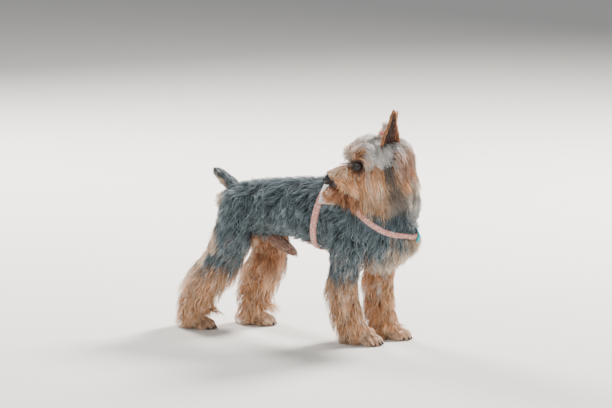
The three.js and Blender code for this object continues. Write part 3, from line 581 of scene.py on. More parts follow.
def growth(p, normal, region):
    """The hair's measures at each root, by their names in GROWN."""
    name = np.array(REGIONS)[region]
    x, _, z = p.T
    g = {k: np.zeros(len(p)) for k in GROWN}

    def grow(mask, *values, **named):
        for k, v in (dict(zip(GROWN, values)) | named).items():
            g[k][mask] = v if np.isscalar(v) else np.asarray(v)[mask]

    trunk, tail, sheath, head = (name == part for part in ("trunk", "tail", "sheath", "head"))
    front = smooth(x, 80, 130)
    grow(trunk, 28 + 6 * front, COAT + 1.5 + 4.5 * front, 0.7, 0.3, 0.05 + 0.1 * front, 2.6, 1.2, 1 + 0.15 * front)
    under = trunk & (normal[:, 2] < -0.3)
    grow(under, 17 + 20 * smooth(x, 60, 100), 8 + 6 * front, 0.5, 0.9, 0.3 + 0.6 * front)
    grow(under, dense=0.75 + 0.3 * front)
    edge = smooth(normal @ np.array([0.79, 0.61, 0]), 0, 0.8)
    grow(name == "neck", 32 + 6 * edge, 12 + 10 * edge, 0.5, 0.6, 0.3, 2.4, 1.2, 1.1)
    grow(tail, 11, 4.5, 0.6, 0.5, 0, 1.3, 0.9, 1.6)
    grow(tail & (normal[:, 2] < 0), 14, 7)
    grow(sheath, 7, 2.2, 0.8, 0, 0.1, 0.3, 0.6, 0.7)
    grow(sheath & (x > -22), length=9, depth=3, free=1, fall=0.6)
    for leg in LEG_NAMES:
        behind = (tube_place(p, LEGS[leg])[2][:, 0] - x) / 9
        low = smooth(118 - z, 0, 30) * smooth(z, 8, 26)
        if leg.startswith("fore"):
            feather, wisp = smooth(behind, -0.2, 0.8), 0
        else:
            feather = np.maximum(smooth(behind, 0, 0.9) * 0.8, smooth(-behind, 0, 0.9))
            wisp = smooth(-behind, 0.1, 0.8) * smooth(78 - z, 0, 16) * smooth(z, 30, 44)
        long, deep = 25 + 17 * feather * low + 9 * wisp, 12 + 13 * feather * low + 4 * wisp
        grow(name == leg, long, deep, 0.3, 0.6, 0.25 + 0.2 * wisp, 1.9, 1.05, 1.25)
        grow(name == "paw_" + leg, 12, 4.4, 0.5, 0.5, 0.15, 0.9, 0.85, 1.4)
    q = into_head(p)
    hx, hy, hz = q.T
    long = np.clip(1.08 * np.where(hx > 26, hz - curtain_end(hx), hz - beard_end(hx)), 9, 54)
    grow(head, long, 7 + 4 * smooth(45 - hx, 0, 30), 0.3, 1, 0.45, 1.3, 0.95, 2.2)
    chin = head & (hz < mouth_height(hx)) & (hx > 8)
    long = np.clip(1.05 * (hz - beard_end(hx)), 13, 42)
    grow(chin, length=long, depth=9, hug=0.1, fall=0.7 - 0.4 * smooth(hx, 46, 56))
    grow(head & (hx > 34) & (hz > -15), 14 + 3 * smooth(60 - hx, 0, 20), 9, 0.25, 0.8, 0.1)
    brow = smooth(hx, 4, 24)
    crown = head & (hz > 4)
    grow(crown, 26 + 4 * wobble(p, 20, 9), 8 + 10 * brow, mix(0.6, 0.35, brow), 0.4, 0.02, 1.1, dense=2.0)
    grow(head & (hx < -12), 42, 20, 0.4, 0.7, 0.3, 2.2, 1.15, 1.8)
    # Short hair round the eyes and the nose, none on them, in the line of the mouth or under the soles
    eye = np.linalg.norm(from_eye(q, np.where(hy < 0, -1.0, 1.0)), axis=1)
    nose = ball_place(q, NOSE_AT, (8, 9, 7.5))
    line = np.abs(hz - mouth_height(hx))
    for key, share in (
        ("length", mix(0.3, 1, smooth(eye, 7, 17))),
        ("depth", mix(0.3, 1, smooth(eye, 7, 15))),
        ("length", mix(0.4, 1, smooth(nose, 1.1, 2.0))),
    ):
        g[key] = np.where(head, g[key] * share, g[key])
    bare = (eye < EYE_RADIUS + 0.5) | (nose < 1.12) | ((hx > 30) & (line < 1.2))
    g["dense"] = np.where(head & bare | (p[:, 2] < 2.5), 0, g["dense"])
    return g


# Straps run in planes, each given by a point and its axis; hair under them is held down

GIRTH_TILT, LOOP_TILT, LOOP_ROLL = radians(12.7), radians(36), radians(20)
GIRTH = (np.array([35.0, 0, 162]), np.array([cos(GIRTH_TILT), 0, -sin(GIRTH_TILT)]))
LOOP_AXIS = [cos(LOOP_ROLL) * sin(LOOP_TILT), -sin(LOOP_ROLL), cos(LOOP_ROLL) * cos(LOOP_TILT)]
LOOP = (np.array([112.0, 0, 180.5]), np.array(LOOP_AXIS))
PAD = (np.array([53.0, 0, 160]), np.array([1.0, 0, 0]))
STRAP_WIDTH, STRAP_LIFT = 9.0, 6.3
BESIDE = STRAP_WIDTH / 2 + 6  # how far from a strap's middle the hair is held
SPAN_ROUNDS = 14  # of drawing a strap straight across hollows


def sides_of(axis):
    """Two directions that span the plane across an axis."""
    v = unit(np.cross(axis, (0, 1.0, 0)))
    return np.cross(v, axis), v


def ring_of(plane, start, end, steps):
    """Directions in a plane and how far the skin lies along each, with hollows spanned."""
    centre_at, axis = plane
    u, v = sides_of(axis)
    closed = end - start >= 360
    reach, outs = [], []
    for i in range(steps if closed else steps + 1):
        a = radians(start + (end - start) * i / steps)
        out = u * sin(a) + v * cos(a)
        hit = body_tree.ray_cast(Vector(centre_at + out * 100), Vector(-out), 100)
        reach.append(np.linalg.norm(np.array(hit[0]) - centre_at) if hit[0] is not None else 40.0)
        outs.append(out)
    reach = np.array(reach)
    for _ in range(SPAN_ROUNDS):
        if closed:
            reach = np.maximum(reach * 0.999, (np.roll(reach, 1) + np.roll(reach, -1)) / 2)
        else:
            reach[1:-1] = np.maximum(reach[1:-1], (reach[:-2] + reach[2:]) / 2)
    return outs, reach


def under_straps(paths):
    """Presses the hair under the straps and lets it rise again beside them."""
    p = paths.reshape(-1, 3).copy()
    for (centre_at, axis), reach in zip((GIRTH, LOOP), STRAP_REACH):
        u, v = sides_of(axis)
        d = p - centre_at
        off = np.abs(d @ axis)
        flat = d - (d @ axis)[:, None] * axis
        r = np.linalg.norm(flat, axis=1)
        angle = (np.degrees(np.arctan2(flat @ u, flat @ v)) % 360) / 360 * len(reach)
        allowed = np.interp(angle, np.arange(len(reach) + 1), np.append(reach, reach[0]))
        allowed = allowed + STRAP_LIFT - 0.5 + 1.7 * np.maximum(0, off - STRAP_WIDTH / 2 + 0.5)
        hit = (off < BESIDE) & (r > allowed) & (r < 100)
        p[hit] -= (flat / r[:, None])[hit] * (r - allowed)[hit, None]
    return p.reshape(paths.shape)


def grow_paths(roots, normals, region, g, steps):
    """Marches each hair out of the skin and along the coat's lie; gives points by hair and step."""
    n = len(roots)
    paths = np.zeros((n, steps, 3))
    paths[:, 0] = roots - normals * 0.6
    length = g["length"] * rng.uniform(0.7, 1.2, n)
    height = g["depth"] * rng.uniform(0.4, 1.08, n)
    step = (length / (steps - 1))[:, None]
    nn = normals
    twist = rng.normal(0, 0.2, n)[:, None]
    body = np.isin(region, (0, 1))
    for k in range(1, steps):
        s = k / (steps - 1)
        here = roots if k == 1 else paths[:, k - 1]
        d = flow(here, nn, region)
        d = unit(d + twist * np.cross(nn, d))
        lift = (1.05 * (1 - s) ** 1.2 * g["depth"] / 10)[:, None]
        way = unit(d + nn * lift + np.array([0, 0, -1.0]) * (g["fall"] * s * 1.6)[:, None])
        p = here + way * step
        near, out, far = np.zeros((n, 3)), np.zeros((n, 3)), np.zeros(n)
        for i in range(n):
            near[i], out[i], _, far[i] = tree.find_nearest(p[i])
        signed = np.where(np.sum((p - near) * out, axis=1) < 0, -far, far)
        goal = height * (1 - (1 - s) ** 1.7)
        h = mix(signed, goal, g["hug"] * (1 - g["free"] * s))
        h = np.maximum(h, 0.5 + 0.6 * s)
        for centre, axis in (GIRTH, LOOP):
            off = np.abs((p - centre) @ axis)
            cap = STRAP_LIFT - 0.9 + 8.0 * smooth(off, STRAP_WIDTH / 2, BESIDE)
            held = body & (off < BESIDE) & (np.linalg.norm(p - centre, axis=1) < 80)
            h = np.where(held, np.minimum(h, cap), h)
        paths[:, k] = near + out * h[:, None] + (p - near - out * signed[:, None])
        nn = unit(out)
    return paths, length


def lock_of(roots, cell):
    """Which lock each hair belongs to, and the hair that leads that lock."""
    key = np.floor((roots + rng.normal(0, cell * 0.16, roots.shape)) / cell).astype(int)
    _, leader, lock = np.unique(key, axis=0, return_index=True, return_inverse=True)
    return lock.ravel(), leader


def gather(paths, lock, leader, pull):
    """Draws each hair towards the leader of its lock, most at the tip."""
    lead = paths[leader][lock]
    s = np.linspace(0, 1, paths.shape[1])[None, :, None]
    beside = (paths[:, :1] - lead[:, :1]) * (1 - 0.8 * s)
    return mix(paths, lead + beside, pull * s**1.2)


def wave(paths, length, curl, lock):
    """Gives each lock its own soft waves."""
    n, steps, _ = paths.shape
    draw = np.random.default_rng(5)
    phase = draw.uniform(0, 2 * pi, lock.max() + 1)[lock] + rng.normal(0, 0.35, n)
    pitch = draw.uniform(13, 21, lock.max() + 1)[lock]
    along = unit(paths[:, -1] - paths[:, 0])
    side = unit(np.cross(along, np.array([0.31, 0.2, 0.93])))
    up = np.cross(side, along)
    s = np.linspace(0, 1, steps)
    turns = (length / pitch)[:, None] * s[None] * 2 * pi + phase[:, None]
    size = curl[:, None] * s[None] ** 0.7
    swing = side[:, None] * (np.sin(turns) * size)[..., None]
    return paths + swing + up[:, None] * (0.45 * np.cos(turns) * size)[..., None]


def clear_face(paths):
    """Keeps hair out of the way of the eyes and the nose."""
    q = into_head(paths.reshape(-1, 3))
    for s in SIDES:
        look = unit(np.array([0.5, 0.86 * s, 0.05]))
        d = from_eye(q, s)
        t = d @ look
        lateral = d - t[:, None] * look
        r = np.linalg.norm(lateral, axis=1)
        room = 4.6 + 0.12 * np.maximum(t, 0)
        hit = (t > 0) & (t < 26) & (r < room)
        q[hit] += (lateral / np.maximum(r, 0.4)[:, None])[hit] * (room - r)[hit, None]
    radii = np.array([8.6, 9.4, 7.8])
    d = (q - NOSE_AT) / radii
    r = np.linalg.norm(d, axis=1)
    hit = (r < 1.05) & (q[:, 0] > 57)
    q[hit] = NOSE_AT + (d / np.maximum(r, 0.2)[:, None] * 1.05 * radii)[hit]
    return out_of_head(q).reshape(paths.shape)


PROFILE = np.array([0.75, 1.0, 0.92, 0.7, 0.42])  # a tuft's width from root to near its tip
PATCH = 0.003  # each tuft's share of the map


def tuft_piece(name, paths, normals, width, colours, uv, slot, material, shade=1.0):
    """One mesh of closed, tapered, three-sided tufts."""
    n, steps, _ = paths.shape
    rings = steps - 1
    way = unit(np.gradient(paths, axis=1))
    across = unit(np.cross(way, normals[:, None]))
    rise = np.cross(across, way)
    profile = np.interp(np.linspace(0, 1, rings), np.linspace(0, 1, len(PROFILE)), PROFILE)
    half = 0.5 * width[:, None] * profile[None]
    body, wide = paths[:, :rings], across[:, :rings] * half[..., None]
    section = [body + wide, body + rise[:, :rings] * (0.55 * half)[..., None], body - wide]
    points = np.stack(section, axis=2).reshape(n, rings * 3, 3)
    points = np.concatenate([points, paths[:, -1:]], axis=1)
    size = rings * 3 + 1
    pattern = [(0, 1, 2)]
    for r in range(rings - 1):
        for i in range(3):
            a, b = r * 3 + i, r * 3 + (i + 1) % 3
            pattern += [(a, a + 3, b), (b, a + 3, b + 3)]
    last = (rings - 1) * 3
    pattern += [(last + i, size - 1, last + (i + 1) % 3) for i in range(3)]
    faces = (np.array(pattern)[None] + (np.arange(n) * size)[:, None, None]).reshape(-1, 3)
    s = np.append(np.repeat(np.linspace(0, 1, steps)[:rings], 3), 1.0)
    root, mid, tip = (c[:, None] for c in colours)
    # Each tuft runs from the painted shade of its root to its own colour, and on a random share of tufts on to a
    # painted highlight at the tip
    low = np.clip(s * 2.0, 0, 1)[None, :, None]
    high = np.clip(s * 1.7 - 0.6, 0, 1)[None, :, None] * (rng.uniform(0, 1, n) ** 1.2)[:, None, None]
    tint = mix(mix(root, mid, low), tip, high)
    tint = np.clip(tint * (shade * rng.uniform(0.8, 1.22, n))[:, None, None], 0, 1)
    mesh = bpy.data.meshes.new(name)
    mesh.vertices.add(n * size)
    mesh.vertices.foreach_set("co", put(points.reshape(-1, 3)).ravel())
    mesh.loops.add(len(faces) * 3)
    mesh.loops.foreach_set("vertex_index", faces.ravel().astype(np.int32))
    mesh.polygons.add(len(faces))
    mesh.polygons.foreach_set("loop_start", np.arange(len(faces), dtype=np.int32) * 3)
    mesh.polygons.foreach_set("use_smooth", np.ones(len(faces), bool))
    mesh.update(calc_edges=True)
    store_tint(mesh, tint)
    corner = np.stack([s - 0.5, np.append(np.tile([-0.5, 0.0, 0.5], rings), 0.0)], 1) * PATCH
    spot = (np.clip(uv, 0.004, 0.996)[:, None] + corner[None]).reshape(-1, 2)
    mesh.uv_layers.new(name="OFBake").data.foreach_set("uv", spot[faces.ravel()].ravel())
    piece = placed(name, mesh)
    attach(piece, "root")
    return dress(piece, material, slot)


# Materials


class Paint:
    """A procedural material, built node by node; a value may be a number or another node's output."""

    def __init__(self, name, **values):
        self.material = bpy.data.materials.new(name)
        self.material.use_nodes = True
        self.tree = self.material.node_tree
        self.shader = self.tree.nodes["Principled BSDF"]
        self.fill(self.shader, values)

    def fill(self, node, values):
        for key, value in values.items():
            socket = node.inputs.get(key.replace("_", " "))
            if socket is None:
                setattr(node, key, value)
            elif isinstance(value, bpy.types.NodeSocket):
                self.tree.links.new(value, socket)
            else:
                socket.default_value = (*value, 1) if isinstance(value, np.ndarray) else value

    def add(self, kind, output, **values):
        node = self.tree.nodes.new("ShaderNode" + kind)
        self.fill(node, values)
        return node.outputs[output]

    def surface(self, **values):
        self.fill(self.shader, values)

    def place(self):
        return self.add("TexCoord", "Object")

    def noise(self, scale, detail, place=None):
        return self.add("TexNoise", "Fac", Scale=scale, Detail=detail, Vector=place or self.place())

    def spread(self, value, low, high, start=0.0, end=1.0):
        return self.add("MapRange", "Result", Value=value, From_Min=start, From_Max=end, To_Min=low, To_Max=high)

    def maths(self, operation, a, b):
        out = self.add("Math", "Value", operation=operation)
        for value, socket in zip((a, b), out.node.inputs):
            self.tree.links.new(value, socket)
        return out

    def tinted(self, by):
        """Takes the colours stored on the mesh, made lighter and darker."""
        own = self.add("Attribute", "Color", attribute_name="tint")
        self.surface(Base_Color=self.add("VectorMath", "Vector", operation="SCALE", Vector=own, Scale=by))

    def bump(self, height, strength, distance):
        self.surface(Normal=self.add("Bump", "Normal", Strength=strength, Distance=distance, Height=height))

    def ramp(self, value, stops):
        out = self.add("ValToRGB", "Color", Fac=value)
        elements = out.node.color_ramp.elements
        while len(elements) < len(stops):
            elements.new(0.5)
        for element, (at, colour) in zip(elements, stops):
            element.position = at
            element.color = (*colour, 1)
        return out


def coat_material(name):
    paint = Paint(name, Roughness=0.5, Specular_IOR_Level=0.38, Sheen_Weight=0.12, Sheen_Roughness=0.4)
    streak = paint.spread(paint.noise(1500.0, 2.0), 0.72, 1.28)
    patchy = paint.spread(paint.noise(70.0, 3.0), 0.72, 1.2, 0.3, 0.7)
    paint.tinted(paint.maths("MULTIPLY", streak, patchy))
    return paint.material


def skin_material():
    paint = Paint("skin", Roughness=0.7, Specular_IOR_Level=0.2)
    grain = paint.noise(900.0, 4.0)
    paint.tinted(paint.spread(grain, 0.6, 1.1))
    paint.bump(grain, 0.5, 0.0006)
    return paint.material


def nose_material():
    paint = Paint("nose leather", Base_Color=srgb(22, 24, 27), Roughness=0.34, Specular_IOR_Level=0.5)
    cells = paint.add("TexVoronoi", "Distance", feature="DISTANCE_TO_EDGE", Scale=1300.0, Vector=paint.place())
    paint.bump(cells, 0.7, 0.0004)
    paint.surface(Roughness=paint.spread(cells, 0.45, 0.3, 0.0, 0.12))
    return paint.material


def eye_material():
    """Pupil, brown iris, its dark rim and the white, from the middle of the eye outwards."""
    paint = Paint("eye", Roughness=0.05, Specular_IOR_Level=0.5)
    stops = [(0.0, srgb(6, 7, 9)), (0.3, srgb(8, 9, 11)), (0.36, srgb(46, 28, 18)), (0.62, srgb(70, 42, 26))]
    stops += [(0.7, srgb(20, 14, 12)), (1.0, srgb(60, 48, 44))]
    paint.surface(Base_Color=paint.ramp(paint.add("Attribute", "Fac", attribute_name="ring"), stops))
    return paint.material


def cloth_material(name, base, motif):
    """Woven webbing: fine ribs across and along the strap's own map, with a small motif."""
    paint = Paint(name, Roughness=0.75, Specular_IOR_Level=0.25, Sheen_Weight=0.3)
    place = paint.add("UVMap", "UV", uv_map="weave")
    ribs = [paint.add("TexWave", "Fac", Scale=0.55, bands_direction=way, Vector=place) for way in "XY"]
    paint.bump(paint.maths("ADD", *ribs), 0.55, 0.0004)
    worn = [(0.3, base * 0.72), (0.7, np.minimum(base * 1.15, 1))]
    cloth = paint.ramp(paint.noise(0.35, 4.0, place), worn)
    spots = paint.add("TexVoronoi", "Distance", Scale=0.28, Randomness=0.55, Vector=place)
    blend = paint.tree.nodes.new("ShaderNodeMix")
    blend.data_type = "RGBA"
    colour_a, colour_b = [socket for socket in blend.inputs if socket.type == "RGBA"]
    colour_b.default_value = (*motif, 1)
    paint.tree.links.new(cloth, colour_a)
    paint.tree.links.new(paint.spread(spots, 1.0, 0.0, 0.26, 0.34), blend.inputs[0])
    paint.surface(Base_Color=next(o for o in blend.outputs if o.type == "RGBA"))
    return paint.material


def plastic_material(name, base, rough):
    paint = Paint(name, Base_Color=base, Roughness=rough)
    paint.bump(paint.noise(2200.0, 2.0), 0.25, 0.0002)
    return paint.material


# Skin

FLESH_NODES = ["head", "jaw", "neck", "chest", "loin", "tail"]
FLESH_NODES += ["fore_right", "fore_left", "thigh_right", "thigh_left", "shank_right", "shank_left"]
FLESH_NODES += ["paw_fore_right", "paw_fore_left", "paw_hind_right", "paw_hind_left"]

skin = dress(make_skin(), skin_material(), "coat_blue", *FLESH_NODES)
skin.data.calc_loop_triangles()
tri = read(skin.data.loop_triangles, "vertices", np.int32)
co, nor = points_of(skin.data), read(skin.data.vertices, "normal")


def tree_of(faces):
    return BVHTree.FromPolygons([tuple(p) for p in co], [tuple(int(i) for i in t) for t in faces])


tree = tree_of(tri)
vertex_region = regions_of(co)
body_tree = tree_of(tri[np.isin(vertex_region[tri], (0, 1)).all(axis=1)])  # trunk and neck alone
root_colour, mid_colour, _ = palette(blends(co, vertex_region))
# The skin takes the roots' colour, with its painted shade, a quarter of the way to the hair's own colour
store_tint(skin.data, mix(root_colour, mid_colour, 0.25))

STRAP_REACH = [ring_of(plane, 0, 360, 120)[1] for plane in (GIRTH, LOOP)]
coat = coat_material("coat")

corner = co[tri]
centre = corner.mean(axis=1)
across = np.cross(corner[:, 1] - corner[:, 0], corner[:, 2] - corner[:, 0])
area = 0.5 * np.linalg.norm(across, axis=1)
face_region = regions_of(centre)
dense = growth(centre, unit(across), face_region)["dense"]

# Coat


def unwrap(kind, p):
    """A root's place on the skin's own unwrap: round the limb or the skull, and along it."""
    if kind == "head":
        q = into_head(p) - (10, 0, -6)
        lon = (np.arctan2(q[:, 1], q[:, 0]) / (2 * pi)) % 1
        lat = np.arccos(np.clip(q[:, 2] / np.linalg.norm(q, axis=1), -1, 1)) / pi
        return rows(lon, lat)
    stops = {"trunk": trunk_stops, "neck": NECK, "tail": TAIL}.get(kind) or LEGS[kind]
    _, place, at, way = tube_place(p, stops)
    d = p - at
    up = 0 if abs(way[0][2]) > 0.5 else 2  # the axis from which the turn is measured
    return rows((np.arctan2(d[:, 1], d[:, up]) / (2 * pi)) % 1, place)


def region_mask(kind):
    """The triangles of the skin from which a piece of the coat grows."""
    hx, _, hz = into_head(centre).T
    front = (hx > 8) & (hz < 4)
    name = np.array(REGIONS)[face_region]
    return {
        "loin": (name == "trunk") & (centre[:, 0] < 5) | (name == "sheath"),
        "chest": (name == "trunk") & (centre[:, 0] >= 5),
        "face": (name == "head") & front,
        "crown": (name == "head") & ~front,
    }.get(kind, (name == kind) | (name == "paw_" + kind))


# Name, kind of map, tufts, points along a tuft, size of a lock in mm, pull to its leader, slot
PIECES = [
    ("loin", "trunk", 6750, 6, 5.5, 0.75, "coat_blue"),
    ("chest", "trunk", 6750, 6, 5.5, 0.75, "coat_blue"),
    ("neck", "neck", 5000, 6, 5.5, 0.75, "coat_blue"),
    ("face", "head", 6900, 6, 3.6, 0.6, "coat_tan"),
    ("crown", "head", 6250, 6, 4.2, 0.65, "coat_head"),
    ("tail", "tail", 1300, 5, 3.0, 0.4, "coat_blue"),
]
for leg in LEG_NAMES:
    count, cell = (4150, 4.2) if leg.startswith("fore") else (4400, 4.4)
    PIECES.append((leg, leg, count, 6, cell, 0.7, "coat_tan"))
THIN = 1

for kind, map_kind, count, steps, cell, pull, slot in PIECES:
    chance = np.where(region_mask(kind), area * dense, 0)
    chance /= chance.sum()
    n = count // THIN
    pick = rng.choice(len(tri), n, p=chance)
    bary = rng.dirichlet((1, 1, 1), n)
    roots = np.einsum("nk,nkd->nd", bary, corner[pick])
    normals = unit(np.einsum("nk,nkd->nd", bary, nor[tri[pick]]))
    region = face_region[pick]
    g = growth(roots, normals, region)
    paths, length = grow_paths(roots, normals, region, g, steps)
    paths = gather(paths, *lock_of(roots, 2.4 * cell), 0.45 * pull)
    lock, leader = lock_of(roots, cell)
    paths = wave(gather(paths, lock, leader, pull), length, g["curl"], lock)
    shade = rng.uniform(0.74, 1.3, lock.max() + 1)[lock]
    if kind != "face":
        paths = under_straps(paths)
    if map_kind == "head":
        paths = clear_face(paths)
    paths[..., 2] = np.maximum(paths[..., 2], 0.3)
    width = g["width"] * rng.uniform(0.75, 1.3, n) * sqrt(THIN)
    colours = palette(blends(roots, region))
    tuft_piece("coat_" + kind, paths, normals, width, colours, unwrap(map_kind, roots), slot, coat, shade)

# Ears: thin cupped shells with short hair; t runs up the ear and q across it

EAR_HEIGHT, EAR_HALF, EAR_CUP, EAR_THICK, EAR_SUNK = 61.0, 13.0, 7.0, 1.5, 10
EAR_FOOT = np.array([-14, 19, 20])


def ear_half(t):
    return EAR_HALF * (0.95 * (1 - t) ** 0.62 + 0.05) * (0.86 + 0.34 * np.sin(pi * np.minimum(t * 1.5, 1)))


def on_ear(face, t, q, share=1.0):
    """Points of the ear's back (face 1) or cup (face -1)."""
    depth = EAR_CUP * (1 - 0.75 * t) * (1 - q**2)
    return rows(-depth - face * (EAR_THICK / 2) * share, q * ear_half(t), t * EAR_HEIGHT - EAR_SUNK)


def make_ear(name, turn, back, out, side):
    spin = Matrix.Rotation(radians(-back), 3, "Y") @ Matrix.Rotation(radians(-out) * side, 3, "X")
    spin = np.array(spin @ Matrix.Rotation(radians(turn) * side, 3, "Z")).T
    foot = EAR_FOOT * (1, side, 1)
    height, width = 26, 19
    t, q = np.meshgrid(np.linspace(0, 1, height), np.linspace(-1, 1, width), indexing="ij")
    share = 0.35 + 0.65 * (1 - np.abs(q) ** 6)
    rings = np.concatenate([on_ear(1, t, q, share), on_ear(-1, t, q, share)[:, ::-1]], axis=1)
    points = out_of_head(rings.reshape(-1, 3) @ spin + foot)
    piece = make(name, points, ring_faces(height, 2 * width, ends=True))
    paint = Paint(name + " skin", Roughness=0.6, Specular_IOR_Level=0.3)
    stops = [(0.0, srgb(30, 20, 19)), (1.0, srgb(92, 58, 46))]
    paint.surface(Base_Color=paint.ramp(paint.noise(160.0, 4.0), stops))
    dress(piece, paint.material, "coat_tan", name)
    # Hair on the back of the ear and along both edges, and a few wisps in the cup
    n = 1900 // THIN
    t = rng.uniform(0.12, 0.93, n) ** 0.9
    at_edge = rng.uniform(size=n) < 0.45
    q = np.where(at_edge, np.sign(rng.normal(size=n)) * rng.uniform(0.82, 1.0, n), rng.uniform(-1, 1, n))
    inside = rng.uniform(size=n) < 0.24
    face = np.where(inside, -1.0, 1.0)
    slope = (ear_half(np.minimum(t + 0.04, 1)) - ear_half(t)) / (0.04 * EAR_HEIGHT)
    way = rows(-face * 0.18, q * (0.3 * (1 - t) + np.maximum(slope, -0.9)), 1)
    way = unit(way + rng.normal(0, 0.12, (n, 3)))
    long = np.where(inside, 9.0, 6.5) * rng.uniform(0.7, 1.2, n) * (1 - 0.45 * t)
    s = np.linspace(0, 1, 5)[None, :, None]
    paths = on_ear(face, t, q)[:, None] + way[:, None] * long[:, None, None] * s
    # The hair closes over the tip
    tall = EAR_HEIGHT - EAR_SUNK
    paths[..., 1] *= 1 - 0.9 * smooth(paths[..., 2], tall - 7, tall + 3)
    paths[..., 2] = np.minimum(paths[..., 2], tall + 3)
    paths = out_of_head(paths.reshape(-1, 3) @ spin + foot).reshape(n, 5, 3)
    world = turn_out_of_head(rows(-face, 0, 0) @ spin)
    w = np.zeros((n, len(COLOURS)))
    w[:, TAN] = smooth(np.abs(q), 0.55, 0.95)
    w[:, RUST] = 1 - w[:, TAN]
    # The wisps in the cup are painted darker towards its middle, as painted shade in the hollow of the cup, and
    # lighter near the rim
    rim = smooth(np.abs(q) + 0.12 * rng.normal(size=n), 0.3, 0.75)[inside]
    w[inside, DARK] = 0.8 * (1 - rim)
    w[inside, RUST] = 0.2 + 0.4 * rim
    w[inside, TAN] = 0.4 * rim
    uv = rows(0.5 + 0.45 * q * np.where(inside, 0.45, 1.0), 0.04 + 0.9 * t)
    width = rng.uniform(0.6, 1.0, n) * sqrt(THIN)
    tuft_piece("coat_" + name, paths, world, width, palette(w), uv, "coat_tan", coat)


make_ear("ear_left", 112, 3, 14, 1)
make_ear("ear_right", 70, 30, 30, -1)

# Topknot: a gathered plume with its band


def make_topknot():
    n = 620 // THIN
    angle = rng.uniform(0, 2 * pi, n)
    spread = np.sqrt(rng.uniform(0, 1, n))
    out = rows(np.cos(angle), np.sin(angle), 0)
    # Each stop: where the plume's middle is, and its radius there
    stops = [((-11.0, 0, 25), 9), ((-12.0, 0, 35), 3.6), ((-14.0, 0, 44), 6), ((-17.0, 0, 52), 9)]
    knots = [np.array(at) + out * (spread * radius)[:, None] for at, radius in stops]
    knots[3] = knots[3] + rng.normal(0, 1.6, (n, 3))
    paths = []
    for t in np.linspace(0, 3, 6):
        a = min(int(t), 2)
        paths.append(mix(knots[a], knots[a + 1], t - a))
    paths = out_of_head(np.stack(paths, axis=1))
    w = np.zeros((n, len(COLOURS)))
    w[:, SILVER], w[:, TAN] = 0.8, 0.2
    uv = rows(angle / (2 * pi), 0.1 + 0.8 * spread)
    width = rng.uniform(0.7, 1.2, n)
    piece = tuft_piece("topknot_plume", paths, turn_out_of_head(out), width, palette(w), uv, "coat_head", coat)
    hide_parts("topknot")


def make_tie():
    around, across, radius, thick = 48, 12, 5.9, 1.35
    points, uv = [], []
    for i in range(around):
        a = 2 * pi * i / around
        wide = thick * (1 + 0.12 * sin(9 * a))
        for j in range(across):
            b = 2 * pi * j / across
            r = radius + wide * cos(b)
            points.append((r * cos(a), r * sin(a), wide * sin(b)))
            uv.append((i * 0.8, j * 0.8))
    p = np.array(points) @ np.array(Matrix.Rotation(radians(-8), 3, "Y")).T + np.array((-12, 0, 35))
    piece = make("hair_tie_band", out_of_head(p), ring_faces(around, across, closed=True))
    map_weave(piece, uv)
    dress(piece, cloth_material("elastic", srgb(206, 40, 62), srgb(60, 150, 110)), "tie", "hair_tie")


make_topknot()
make_tie()

# Eyes, lids, nose and lips


def make_eye(side):
    name = "left" if side > 0 else "right"
    at = EYE_AT * (1, side, 1)
    look = unit(np.array([0.56, 0.83 * side, 0.02]))
    up = unit(np.cross(look, np.cross(np.array([0, 0, 1.0]), look)))
    right = np.cross(up, look)
    points, faces = ball((0, 0, 0), (1, 1, 1), 48, 32)
    angle = np.arccos(np.clip(points[:, 2], -1, 1))
    cornea = 1 + 0.06 * np.exp(-((angle / 0.62) ** 4))
    p = (points * (EYE_RADIUS * 0.985 * cornea)[:, None]) @ np.stack([right, up, look]) + at
    piece = make("eyeball_" + name, out_of_head(p), faces)
    ring = piece.data.attributes.new("ring", "FLOAT", "POINT")
    ring.data.foreach_set("value", np.clip(angle / 1.35, 0, 1))
    dress(piece, EYE_MATERIAL, "eye", "eye_" + name)
    # Lids: a thin dark shell round the ball with an almond opening
    layers, across, wide, tall = 9, 48, 0.72, 0.36
    lid = []
    for r in range(layers):
        s = r / (layers - 1)
        for i in range(across):
            a = 2 * pi * i / across
            opening = 1 / sqrt((cos(a) / wide) ** 2 + (sin(a) / tall) ** 2)
            theta = mix(opening, 1.55, s)
            radius = EYE_RADIUS + (0.35 + 0.75 * sin(pi * min(s * 1.3, 1)) if r else 0.1)
            lid.append(at + (right * sin(theta) * cos(a) + up * sin(theta) * sin(a) + look * cos(theta)) * radius)
    shell = np.array(lid + [p + (at - p) * 0.07 for p in lid])
    count = layers * across
    faces = ring_faces(layers, across)
    faces += [tuple(count + i for i in reversed(f)) for f in faces]
    for base in (0, count - across):
        for i in range(across):
            a, b = base + i, base + (i + 1) % across
            quad = (a, count + a, count + b, b)
            faces.append(quad if base == 0 else tuple(reversed(quad)))
    dress(make("lids_" + name, out_of_head(shell), faces), LIP_MATERIAL, "nose_leather")


EYE_MATERIAL = eye_material()
LIP_MATERIAL = Paint("lip skin", Base_Color=srgb(34, 28, 27), Roughness=0.45, Specular_IOR_Level=0.4).material
for side in SIDES:
    make_eye(side)


